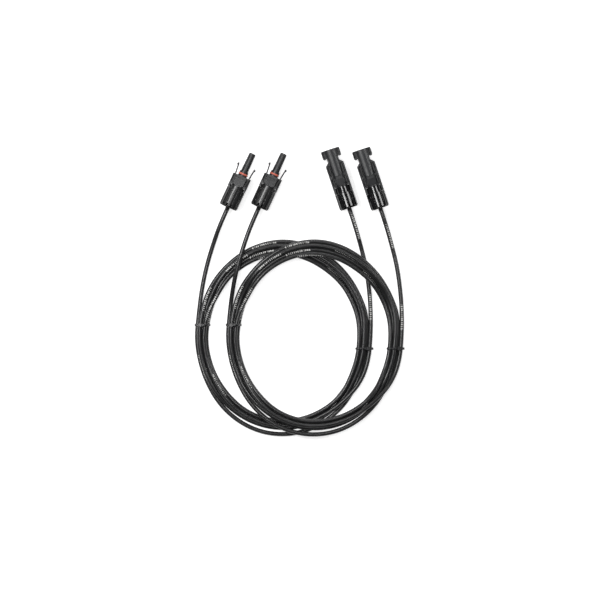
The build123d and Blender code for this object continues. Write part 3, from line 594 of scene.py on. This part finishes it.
# The coil, wound left, near, right, far.  Each turn starts at the left and has a point at every
# step: distance from the coil's middle and height over the lowest layer (mm).
COIL_MIDDLE = (-3.65, -168.58)
COIL_START_DEG = 180
STEP_DEG = 15
LOW_LAYER_Z = 2.42
INSIDE_POINTS = 1.0086  # a spline of this order runs this much inside its points
TURNS = [
    [
        (93.6, 0.95), (93.4, 0), (95.0, 0), (98.2, 0), (100.8, 0), (102.4, 0),
        (102.1, 0), (100.2, 0), (96.6, 0), (92.7, 0), (88.0, 0), (85.6, 0.9),
        (85.0, 0.9), (88.6, 0), (89.9, 0), (92.7, 0), (96.1, 0), (100.1, 0),
        (102.6, 0), (102.0, 0), (99.8, 0), (97.3, 0), (95.0, 1.9), (91.4, 4.8),
    ],
    [
        (91.2, 5), (91.0, 4.1), (92.3, 3.9), (93.6, 1.3), (94.9, 0), (95.6, 0),
        (95.4, 0), (94.3, 0), (91.6, 0), (88.1, 0.3), (84.6, 3.3), (83.2, 5),
        (82.7, 5), (86.1, 4.05), (87.6, 4.15), (90.1, 3.95), (92.4, 2.95), (95.8, 1.9),
        (98.2, 1.8), (97.9, 2.3), (96.2, 3), (94.1, 3.5), (90.3, 1.9), (88.6, 0.9),
    ],
    [
        (88.8, 0.95), (88.6, 0), (89.2, 0), (89.0, 0), (90.0, 0), (90.8, 0),
        (90.5, 0), (89.4, 0), (86.8, 0), (83.3, 0), (81.2, 0), (80.8, 0.9),
        (80.3, 0.9), (83.7, 0), (85.2, 0), (87.5, 0), (88.7, 0), (91.5, 0),
        (93.8, 0), (93.8, 0), (92.6, 0), (90.9, 0), (86.0, 0), (83.9, 0.9),
    ],
    [
        (84.0, 0.95), (83.8, 0), (84.4, 0.6), (85.4, 2.6), (87.6, 4.05), (88.3, 4.05),
        (88.0, 4.05), (86.9, 4.1), (85.6, 4.6), (84.2, 4.7), (79.9, 4.6), (78.4, 5),
        (77.9, 5), (79.5, 2.6), (80.6, 0.4), (82.8, 0), (84.2, 0.3), (87.2, 1.8),
        (89.5, 1.9), (89.8, 2.5), (89.0, 3), (87.5, 3.7), (84.9, 4.6), (86.2, 5.0),
    ],
    [
        (86.4, 5), (86.2, 4.1), (87.2, 5.1), (89.6, 5.1), (92.5, 4.1), (93.2, 4.1),
        (92.9, 4.1), (91.8, 4.15), (90.6, 4.65), (90.4, 4.8), (91.6, 4.1), (90.5, 1.9),
    ],
]

# Lead 2 is lifted where it crosses lead 1: by this much at the near and at the far side (mm)
CROSSING_LIFT = {1: (0.0, 0.0), 2: (9.0, 6.8)}
CROSSING_FULL_X = 60.5
CROSSING_END_X = 78.0
CROSSING_MIDDLE_X = -6.3

# How the printed row rolls round the cable: metres along the cable, and radians.  The row lies on
# top at the left of the coil and in the stretch to the receptacle, and is turned away at the right
# of the coil and near the plug.
ROW_UP_AT = 0.115
COIL_TURN = 0.562
COIL_END = 2.72
ROLL_FADE = 0.1
ROW_ASIDE = 1.9
ROW_ASIDE_MOST = 2.7
PLUG_FADES = 1.6  # from the plug to where the row is on top, in lengths of a fade
PLUG_ROLL = 2.2
WANDER = 0.3
WANDER_RATE = 17.0


def add_piece(name, mesh, lead, material=None, smooth=True):
    """Finished mesh as a piece that rides on its lead and takes its finish from a slot."""
    piece = bpy.data.objects.new(name, mesh)
    bpy.context.scene.collection.objects.link(piece)
    if material is not None:
        mesh.materials.append(material)
    if smooth:
        mesh.polygons.foreach_set("use_smooth", [True] * len(mesh.polygons))
    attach(piece, f"lead{lead}")
    return piece


def mesh_of(holder):
    """Mesh that an object shows after its modifiers or as a curve."""
    bpy.context.scene.collection.objects.link(holder)
    bpy.context.view_layer.update()
    shown = holder.evaluated_get(bpy.context.evaluated_depsgraph_get())
    return bpy.data.meshes.new_from_object(shown)


def crossing_lift(lead, x, far_side):
    """Height that lead 2 gains over lead 1 at a distance to the side of the coil's middle."""
    full = CROSSING_LIFT[lead][1 if far_side else 0]
    way = (CROSSING_END_X - abs(x - CROSSING_MIDDLE_X)) / (CROSSING_END_X - CROSSING_FULL_X)
    way = min(1.0, max(0.0, way))
    return full * way * way * (3 - 2 * way)


def cable_points(lead):
    """All control points of one lead's cable, from the plug to the receptacle."""
    points = list(PLUG_STRETCH[lead])
    for step, (distance, height) in enumerate(place for turn in TURNS for place in turn):
        turned = math.radians(COIL_START_DEG + STEP_DEG * step)
        x = COIL_MIDDLE[0] + distance * INSIDE_POINTS * math.cos(turned)
        y = COIL_MIDDLE[1] + distance * INSIDE_POINTS * math.sin(turned)
        lift = crossing_lift(lead, x, math.sin(turned) > 0)
        points.append((x, y, LOW_LAYER_Z + height + lift))
    points += RECEPTACLE_STRETCH[::-1]
    return [((x + LEADS[lead]) * MM, y * MM, z * MM) for x, y, z in points]


def smooth_route(lead):
    """The cable's centreline as points read from its spline."""
    curve = bpy.data.curves.new("route", "CURVE")
    curve.dimensions = "3D"
    curve.resolution_u = ROUTE_STEPS
    line = curve.splines.new("NURBS")
    control = cable_points(lead)
    line.points.add(len(control) - 1)
    for point, place in zip(line.points, control):
        point.co = (*place, 1.0)
    line.order_u = 3
    line.use_endpoint_u = True
    holder = bpy.data.objects.new("route", curve)
    drawn = mesh_of(holder)
    route = np.array([vertex.co[:] for vertex in drawn.vertices])
    bpy.data.objects.remove(holder)
    bpy.data.curves.remove(curve)
    bpy.data.meshes.remove(drawn)
    return route


def print_roll(along):
    """Turn of the jacket round its middle, in radians, at distances along it in metres."""
    round_coil = 1 - np.cos(2 * math.pi * (along - ROW_UP_AT) / COIL_TURN)
    coiled = np.clip((COIL_END - along) / ROLL_FADE, 0, 1)
    at_plug = np.clip(PLUG_FADES - along / ROLL_FADE, 0, 1)
    aside = np.minimum(ROW_ASIDE * round_coil, ROW_ASIDE_MOST) * coiled
    return -math.pi / 2 + aside + PLUG_ROLL * at_plug + WANDER * np.sin(along * WANDER_RATE + 1.0)


def jacket_mesh(name, route):
    """Round tube along a route, unwrapped with metres along it and turns around it."""
    lengths = np.linalg.norm(np.diff(route, axis=0), axis=1)
    along = np.concatenate([[0.0], np.cumsum(lengths)])
    heading = np.gradient(route, along, axis=0)
    heading /= np.linalg.norm(heading, axis=1)[:, None]
    aside = np.cross(heading, (0.0, 0.0, 1.0))
    aside /= np.linalg.norm(aside, axis=1)[:, None]
    above = np.cross(aside, heading)
    roll = print_roll(along)
    vertices, faces, unwrap = [], [], []
    for i, centre in enumerate(route):
        for side in range(JACKET_SIDES):
            turn = 2 * math.pi * side / JACKET_SIDES + roll[i]
            out = math.cos(turn) * aside[i] + math.sin(turn) * above[i]
            vertices.append(tuple(centre + CABLE_R * MM * out))
    for i in range(len(route) - 1):
        for side in range(JACKET_SIDES):
            after = (side + 1) % JACKET_SIDES
            a, b = i * JACKET_SIDES, (i + 1) * JACKET_SIDES
            faces.append((a + side, a + after, b + after, b + side))
            low, high = side / JACKET_SIDES, (side + 1) / JACKET_SIDES
            unwrap += [along[i], low, along[i], high, along[i + 1], high, along[i + 1], low]
    last = (len(route) - 1) * JACKET_SIDES
    faces.append(tuple(range(JACKET_SIDES))[::-1])
    faces.append(tuple(range(last, last + JACKET_SIDES)))
    unwrap += [0.0, 0.0] * JACKET_SIDES * 2
    mesh = bpy.data.meshes.new(name)
    mesh.from_pydata(vertices, [], faces)
    mesh.uv_layers.new(name="jacket").data.foreach_set("uv", unwrap)
    return mesh


ROUTES = {lead: smooth_route(lead) for lead in LEADS}
for lead in LEADS:
    name = f"lead{lead}_cable"
    cable = add_piece(name, jacket_mesh(name, ROUTES[lead]), lead, CABLE_JACKET)
    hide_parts(f"lead{lead}_plug_tail", f"lead{lead}_coil", f"lead{lead}_receptacle_tail")

# ---------------------------------------------------------------- growths: shapes that repeat (mm)


def new_growth(name, **inputs):
    """Empty Geometry Nodes group that takes a geometry, named inputs and a material."""
    sockets = {key.replace("_", " "): kind for key, kind in inputs.items()}
    sockets = {"Geometry": GEOMETRY, **sockets, "Material": MATERIAL}
    return new_group("GeometryNodeTree", name, sockets, {"Geometry": GEOMETRY})


def finish_growth(tree, source, take, give):
    """End a growth group: real geometry with its material."""
    real = node(tree, "GeometryNodeRealizeInstances", Geometry=source)
    coat = node(
        tree,
        "GeometryNodeSetMaterial",
        Geometry=(real, "Geometry"),
        Material=(take, "Material"),
    )
    wire(tree, (coat, "Geometry"), (give, "Geometry"))
    return tree


def grown(tree, base, **values):
    """Mesh that a growth group makes from a base mesh with the given input values."""
    holder = bpy.data.objects.new("growth_base", base)
    grower = holder.modifiers.new("growth", "NODES")
    grower.node_group = tree
    for item in tree.interface.items_tree:
        key = item.name.replace(" ", "_")
        if item.in_out == "INPUT" and key in values:
            grower[item.identifier] = values[key]
    made = mesh_of(holder)
    holder.modifiers.remove(grower)
    bpy.data.objects.remove(holder)
    return made


def combined(tree, **axes):
    """Vector put together from the outputs given for its axes; returns its output."""
    return (node(tree, "ShaderNodeCombineXYZ", **axes), "Vector")


def upright(tree, curve):
    """A curve whose normals stay level; returns its output."""
    return (node(tree, "GeometryNodeSetCurveNormal", mode="Z_UP", Curve=curve), "Curve")


def section(tree, width, height):
    """Rectangular profile; returns its output."""
    made = node(
        tree, "GeometryNodeCurvePrimitiveQuadrilateral", Width=width, Height=height
    )
    return (made, "Curve")


def rod(tree, radius, sides=8):
    """Round profile or hoop; returns its output."""
    made = node(tree, "GeometryNodeCurvePrimitiveCircle", Resolution=sides, Radius=radius)
    return (made, "Curve")


def swept(tree, curve, profile, **settings):
    """Profile swept along a curve; returns its output."""
    made = node(
        tree, "GeometryNodeCurveToMesh", Curve=curve, Profile_Curve=profile, **settings
    )
    return (made, "Mesh")


THREAD_STEPS = 44  # points of the ridge in a turn
RUN_OUT_RATE = 26.0  # how fast the ridge grows from its ends, and what it starts with
RUN_OUT_LEAST = 0.15


def build_thread_growth():
    """Round right-hand thread ridge wound round a spigot, running out at both ends."""
    tree, take, give = new_growth(
        "thread_ridge", Turns=FLOAT, Pitch=FLOAT, Root_Radius=FLOAT, Ridge=FLOAT
    )
    helix = node(
        tree,
        "GeometryNodeCurveSpiral",
        Resolution=THREAD_STEPS,
        Reverse=True,
        Rotations=(take, "Turns"),
        Start_Radius=(take, "Root Radius"),
        End_Radius=(take, "Root Radius"),
        Height=math_node(tree, "MULTIPLY", (take, "Turns"), (take, "Pitch")),
    )
    way = (tree.nodes.new("GeometryNodeSplineParameter"), "Factor")
    near = math_node(tree, "MINIMUM", way, math_node(tree, "SUBTRACT", 1.0, way))
    grows = math_node(tree, "MULTIPLY_ADD", near, RUN_OUT_RATE, RUN_OUT_LEAST)
    run_out = math_node(tree, "MINIMUM", grows, 1.0)
    ridge = swept(
        tree,
        upright(tree, (helix, "Curve")),
        rod(tree, (take, "Ridge")),
        Scale=run_out,
        Fill_Caps=True,
    )
    return finish_growth(tree, ridge, take, give)


STRAP_ROUND = 0.2
STRAP_ROUND_STEPS = 2
TOOTH_STAND = 0.2  # mm more than the strap's thickness
TOOTH_SHARE_W = 0.62  # of the strap's width
TOOTH_SHARE_LEN = 0.45  # of the step from tooth to tooth


def build_strap_growth():
    """Strap along the closed path of a mesh's edges, with a ladder of low teeth along it."""
    tree, take, give = new_growth(
        "toothed_strap", Width=FLOAT, Thickness=FLOAT, Tooth_Step=FLOAT
    )
    line = node(tree, "GeometryNodeMeshToCurve", Mesh=(take, "Geometry"))
    even = node(
        tree,
        "GeometryNodeResampleCurve",
        mode="LENGTH",
        Curve=(line, "Curve"),
        Length=math_node(tree, "MULTIPLY", (take, "Tooth Step"), 0.5),
    )
    path = upright(tree, (even, "Curve"))
    rounded = node(
        tree,
        "GeometryNodeFilletCurve",
        mode="POLY",
        Count=STRAP_ROUND_STEPS,
        Radius=STRAP_ROUND,
        Curve=section(tree, (take, "Thickness"), (take, "Width")),
    )
    band = swept(tree, path, (rounded, "Curve"))
    places = node(
        tree,
        "GeometryNodeCurveToPoints",
        mode="LENGTH",
        Curve=path,
        Length=(take, "Tooth Step"),
    )
    tooth_size = combined(
        tree,
        X=math_node(tree, "ADD", (take, "Thickness"), TOOTH_STAND),
        Y=math_node(tree, "MULTIPLY", (take, "Width"), TOOTH_SHARE_W),
        Z=math_node(tree, "MULTIPLY", (take, "Tooth Step"), TOOTH_SHARE_LEN),
    )
    tooth = node(tree, "GeometryNodeMeshCube", Size=tooth_size)
    row = node(
        tree,
        "GeometryNodeInstanceOnPoints",
        Points=(places, "Points"),
        Instance=(tooth, "Mesh"),
        Rotation=(places, "Rotation"),
    )
    both = node(tree, "GeometryNodeJoinGeometry", Geometry=band)
    wire(tree, (row, "Instances"), (both, "Geometry"))
    return finish_growth(tree, (both, "Geometry"), take, give)


WIRE_RINGS = ((12, 4.0), (6, 2.0))  # wires in a ring and its radius in radii of a wire
WIRE_STEPS = 14


def build_strand_growth():
    """Bundle of fine wires, one in the middle and rings of 6 and 12 round it, with a twist."""
    tree, take, give = new_growth(
        "stranded_wire", Length=FLOAT, Wire_Radius=FLOAT, Lay=FLOAT
    )
    bundle = tree.nodes.new("GeometryNodeJoinGeometry")
    for count, radii in WIRE_RINGS:
        radius = math_node(tree, "MULTIPLY", (take, "Wire Radius"), radii)
        ring = node(tree, "GeometryNodeMeshCircle", Vertices=count, Radius=radius)
        wire(tree, (ring, "Mesh"), (bundle, "Geometry"))
    middle = node(tree, "GeometryNodeMeshLine", Count=1)
    wire(tree, (middle, "Mesh"), (bundle, "Geometry"))
    far_end = combined(tree, Z=(take, "Length"))
    line = node(tree, "GeometryNodeCurvePrimitiveLine", End=far_end)
    even = node(
        tree, "GeometryNodeResampleCurve", mode="COUNT", Count=WIRE_STEPS, Curve=(line, "Curve")
    )
    rows = node(
        tree,
        "GeometryNodeInstanceOnPoints",
        Points=(bundle, "Geometry"),
        Instance=(even, "Curve"),
    )
    loose = node(tree, "GeometryNodeRealizeInstances", Geometry=(rows, "Instances"))
    place = (tree.nodes.new("GeometryNodeInputPosition"), "Position")
    split = node(tree, "ShaderNodeSeparateXYZ", Vector=place)
    turned = node(
        tree,
        "ShaderNodeVectorRotate",
        rotation_type="Z_AXIS",
        Vector=place,
        Angle=math_node(tree, "MULTIPLY", (split, "Z"), (take, "Lay")),
    )
    twisted = node(
        tree,
        "GeometryNodeSetPosition",
        Geometry=(loose, "Geometry"),
        Position=(turned, "Vector"),
    )
    wires = swept(
        tree, (twisted, "Geometry"), rod(tree, (take, "Wire Radius")), Fill_Caps=True
    )
    return finish_growth(tree, wires, take, give)


HOOP_STEPS = 48
BOW_STEPS = 10
LOUVRE_R = 0.15


def build_louvre_growth():
    """Contact spring: two end rings joined by louvres that bow inwards."""
    tree, take, give = new_growth(
        "louvre_spring",
        Outer_Radius=FLOAT,
        Wall=FLOAT,
        Length=FLOAT,
        Ring=FLOAT,
        Bow=FLOAT,
        Louvres=INTEGER,
    )
    middle_r = math_node(tree, "MULTIPLY_ADD", (take, "Wall"), -0.5, (take, "Outer Radius"))
    inner_r = math_node(tree, "SUBTRACT", middle_r, (take, "Bow"))
    low = math_node(tree, "MULTIPLY", (take, "Ring"), 0.5)
    half = math_node(tree, "MULTIPLY", (take, "Length"), 0.5)
    high = math_node(tree, "SUBTRACT", (take, "Length"), low)

    parts = tree.nodes.new("GeometryNodeJoinGeometry")
    hoop = upright(tree, rod(tree, middle_r, HOOP_STEPS))
    ring = swept(tree, hoop, section(tree, (take, "Wall"), (take, "Ring")))
    for height in (low, high):
        moved = node(
            tree, "GeometryNodeTransform", Geometry=ring, Translation=combined(tree, Z=height)
        )
        wire(tree, (moved, "Geometry"), (parts, "Geometry"))
    bowed = node(
        tree,
        "GeometryNodeCurveQuadraticBezier",
        Resolution=BOW_STEPS,
        Start=combined(tree, X=middle_r, Z=low),
        Middle=combined(tree, X=inner_r, Z=half),
        End=combined(tree, X=middle_r, Z=high),
    )
    louvre = swept(tree, (bowed, "Curve"), rod(tree, LOUVRE_R), Fill_Caps=True)
    centre = node(tree, "GeometryNodeMeshLine", Count=(take, "Louvres"), Offset=(0, 0, 0))
    index = tree.nodes.new("GeometryNodeInputIndex")
    share = math_node(tree, "DIVIDE", (index, "Index"), (take, "Louvres"))
    turn = combined(tree, Z=math_node(tree, "MULTIPLY", share, 2 * math.pi))
    row = node(
        tree,
        "GeometryNodeInstanceOnPoints",
        Points=(centre, "Mesh"),
        Instance=louvre,
        Rotation=turn,
    )
    wire(tree, (row, "Instances"), (parts, "Geometry"))
    return finish_growth(tree, (parts, "Geometry"), take, give)


THREAD_GROWTH = build_thread_growth()
STRAND_GROWTH = build_strand_growth()
LOUVRE_GROWTH = build_louvre_growth()
STRAP_GROWTH = build_strap_growth()

# ---------------------------------------------------------------- threads, wires and springs (mm)

# Rear face of each connector's nut for one lead, and its heading clockwise from +Y in degrees.
# Where a thread, a conductor or a spring starts is measured forwards from that face.
END_SEATS = {"plug": ((-64.50, -30.25), 24.8), "receptacle": ((63.87, -31.10), -18.4)}
THREAD = {"Turns": 9.0, "Pitch": 1.5, "Root_Radius": 6.5, "Ridge": 0.47}
THREAD_START = 9.7
CONDUCTOR = {"Length": 6.7, "Wire_Radius": 0.26, "Lay": 0.16}  # the lay is in radians a mm
JACKET_END = 24.0
SPRING = {
    "Outer_Radius": 2.35,
    "Wall": 0.25,
    "Length": 7.6,
    "Ring": 1.0,
    "Bow": 0.25,
    "Louvres": 12,
}
SPRING_REAR = 50.15


def along_axis(lead, end, start):
    """Matrix that lays a shape grown along Z, in mm, on a connector's axis from a station."""
    (x, y), heading = END_SEATS[end]
    place = Matrix.Translation(((x + LEADS[lead]) * MM, y * MM, AXIS_Z * MM))
    seat = place @ Matrix.Rotation(-math.radians(heading), 4, "Z") @ Matrix.Scale(MM, 4)
    return seat @ Matrix.Translation((0, start, 0)) @ Matrix.Rotation(-math.pi / 2, 4, "X")


def grow_on_axis(name, growth, sizes, material, lead, end, start):
    """Piece grown without a base on a connector's axis."""
    mesh = grown(growth, bpy.data.meshes.new(name), Material=material, **sizes)
    mesh.transform(along_axis(lead, end, start))
    return add_piece(name, mesh, lead)


for lead in LEADS:
    for end in END_SEATS:
        name = f"lead{lead}_{end}"
        grow_on_axis(
            f"{name}_thread",
            THREAD_GROWTH,
            THREAD,
            MOULDED["housing"],
            lead,
            end,
            THREAD_START,
        )
        wires = grow_on_axis(
            f"{name}_strands", STRAND_GROWTH, CONDUCTOR, COPPER, lead, end, JACKET_END
        )
        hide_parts(f"{name}_conductor")
    cage = grow_on_axis(
        f"lead{lead}_plug_louvre_spring",
        LOUVRE_GROWTH,
        SPRING,
        SPRING_ALLOY,
        lead,
        "plug",
        SPRING_REAR,
    )
    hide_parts(f"lead{lead}_plug_contact_spring")

# ---------------------------------------------------------------- cable ties (mm)

STRAP_W = 2.5
STRAP_T = 0.8
STRAP_CLEAR = 0.05
STRAP_CORNERS = 30  # of the round that the strap takes about one strand
TOOTH_STEP = 1.1
TIE_HEAD = (4.4, 4.0, 3.2)
HEAD_WALL = 0.75
HEAD_SLOT = 0.9
HEAD_ROUND = 0.28
HEAD_SINK = 0.3  # how far the head sits into the strap
NEAR_END = 0.98  # an edge past this share of the half length is one of the head's ends
ON_SIDE = 1e-4
HEAD_REACH = 3.5  # the head rests on the highest part of the strap within this reach
STUB_Z = 0.5  # of the strap's end over the middle of the head
# The strap's cut end and the pawl: side of the head, distance out of its face, then length, width
# and thickness
TIE_ENDS = ((1, 1.1, (3.8, STRAP_W, STRAP_T)), (-1, -0.2, (1.2, STRAP_W - 0.5, 0.5)))
END_ROUND = 0.12
STUB_TEETH = 3
STUB_TOOTH = (0.35, 1.6, STRAP_T + 0.24)
STUB_TOOTH_STEP = 0.8

# Y of each tie, X of the middle of its strands and X of its head, for one lead
TIE_PLACES = {"left_tie": (-154.75, -91.93, -94.23), "right_tie": (-179.75, 79.65, 84.25)}
STRAND_REACH = 25  # how far from that middle a strand may lie


def strands_at(lead, y, middle_x):
    """Middles (x, z) in mm of the strands that cross a tie's plane."""
    points = ROUTES[lead] / MM
    found = []
    for first, second in zip(points[:-1], points[1:]):
        crosses = (first[1] - y) * (second[1] - y) <= 0
        if crosses and abs(first[0] - LEADS[lead] - middle_x) < STRAND_REACH:
            place = first + (y - first[1]) / (second[1] - first[1]) * (second - first)
            found.append((place[0], place[2]))
    return found


def strap_path(strands):
    """Closed loop (x, z) in mm drawn tight round the strands, through the middle of the strap."""
    reach = CABLE_R + STRAP_CLEAR + STRAP_T / 2
    turns = [math.radians(360 / STRAP_CORNERS * k) for k in range(STRAP_CORNERS)]
    around = [
        Vector((x + reach * math.cos(turn), z + reach * math.sin(turn)))
        for x, z in strands
        for turn in turns
    ]
    return [around[k] for k in geometry.convex_hull_2d(around)]


def add_block(body, middle, size):
    """Block added to a bmesh by its middle and size; returns its edges."""
    matrix = Matrix.Translation(middle) @ Matrix.Diagonal((*size, 1.0))
    made = bmesh.ops.create_cube(body, size=1.0, matrix=matrix)
    return list({edge for vert in made["verts"] for edge in vert.link_edges})


def tie_head_mesh(name):
    """Head of a tie: bevelled block with a slot sunk into each end, its pawl and the strap's cut
    end.
    """
    half_len, half_w = TIE_HEAD[0] / 2, TIE_HEAD[1] / 2
    block = bmesh.new()
    add_block(block, (0, 0, 0), TIE_HEAD)
    for face in [face for face in block.faces if abs(face.normal.x) > 0.9]:
        bmesh.ops.inset_individual(block, faces=[face], thickness=HEAD_WALL)
        sink = Vector((math.copysign(HEAD_SLOT, -face.normal.x), 0, 0))
        bmesh.ops.translate(block, verts=face.verts, vec=sink)
    outer = []
    for edge in block.edges:
        at_end = all(abs(vert.co.x) > NEAR_END * half_len for vert in edge.verts)
        on_side = all(abs(abs(vert.co.y) - half_w) < ON_SIDE for vert in edge.verts)
        if at_end or on_side:
            outer.append(edge)
    bmesh.ops.bevel(block, geom=outer, offset=HEAD_ROUND, segments=3, affect="EDGES")
    for side, out, size in TIE_ENDS:
        edges = add_block(block, (side * (half_len + out), 0, STUB_Z), size)
        bmesh.ops.bevel(block, geom=edges, offset=END_ROUND, segments=2, affect="EDGES")
    for k in range(STUB_TEETH):
        add_block(block, (half_len + STUB_TOOTH_STEP * (k + 1), 0, STUB_Z), STUB_TOOTH)
    bmesh.ops.recalc_face_normals(block, faces=block.faces)
    mesh = bpy.data.meshes.new(name)
    block.to_mesh(mesh)
    block.free()
    return mesh


TIE_PIECES = {lead: [] for lead in LEADS}
for lead in LEADS:
    for tie, (tie_y, middle_x, head_x) in TIE_PLACES.items():
        name = f"lead{lead}_{tie}"
        loop = strap_path(strands_at(lead, tie_y, middle_x))
        corners = range(len(loop))
        path = bpy.data.meshes.new("strap_path")
        path.from_pydata(
            [(p.x, p.y, 0) for p in loop], [(k, (k + 1) % len(loop)) for k in corners], []
        )
        strap = grown(
            STRAP_GROWTH,
            path,
            Width=STRAP_W,
            Thickness=STRAP_T,
            Tooth_Step=TOOTH_STEP,
            Material=MOULDED["tie"],
        )
        stood_up = Matrix.Translation((0, tie_y, 0)) @ Matrix.Rotation(math.pi / 2, 4, "X")
        strap.transform(Matrix.Scale(MM, 4) @ stood_up)
        band = add_piece(f"{name}_strap", strap, lead, smooth=False)

        at_head = head_x + LEADS[lead]
        top = max(p.y for p in loop if abs(p.x - at_head) < HEAD_REACH) + STRAP_T / 2
        head_z = top + TIE_HEAD[2] / 2 - HEAD_SINK
        head = tie_head_mesh(f"{name}_head")
        head.transform(Matrix.Scale(MM, 4) @ Matrix.Translation((at_head, tie_y, head_z)))
        knot = add_piece(f"{name}_head", head, lead, MOULDED["tie"], smooth=False)
        for piece in (band, knot):
            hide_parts(name)
            TIE_PIECES[lead].append(piece)
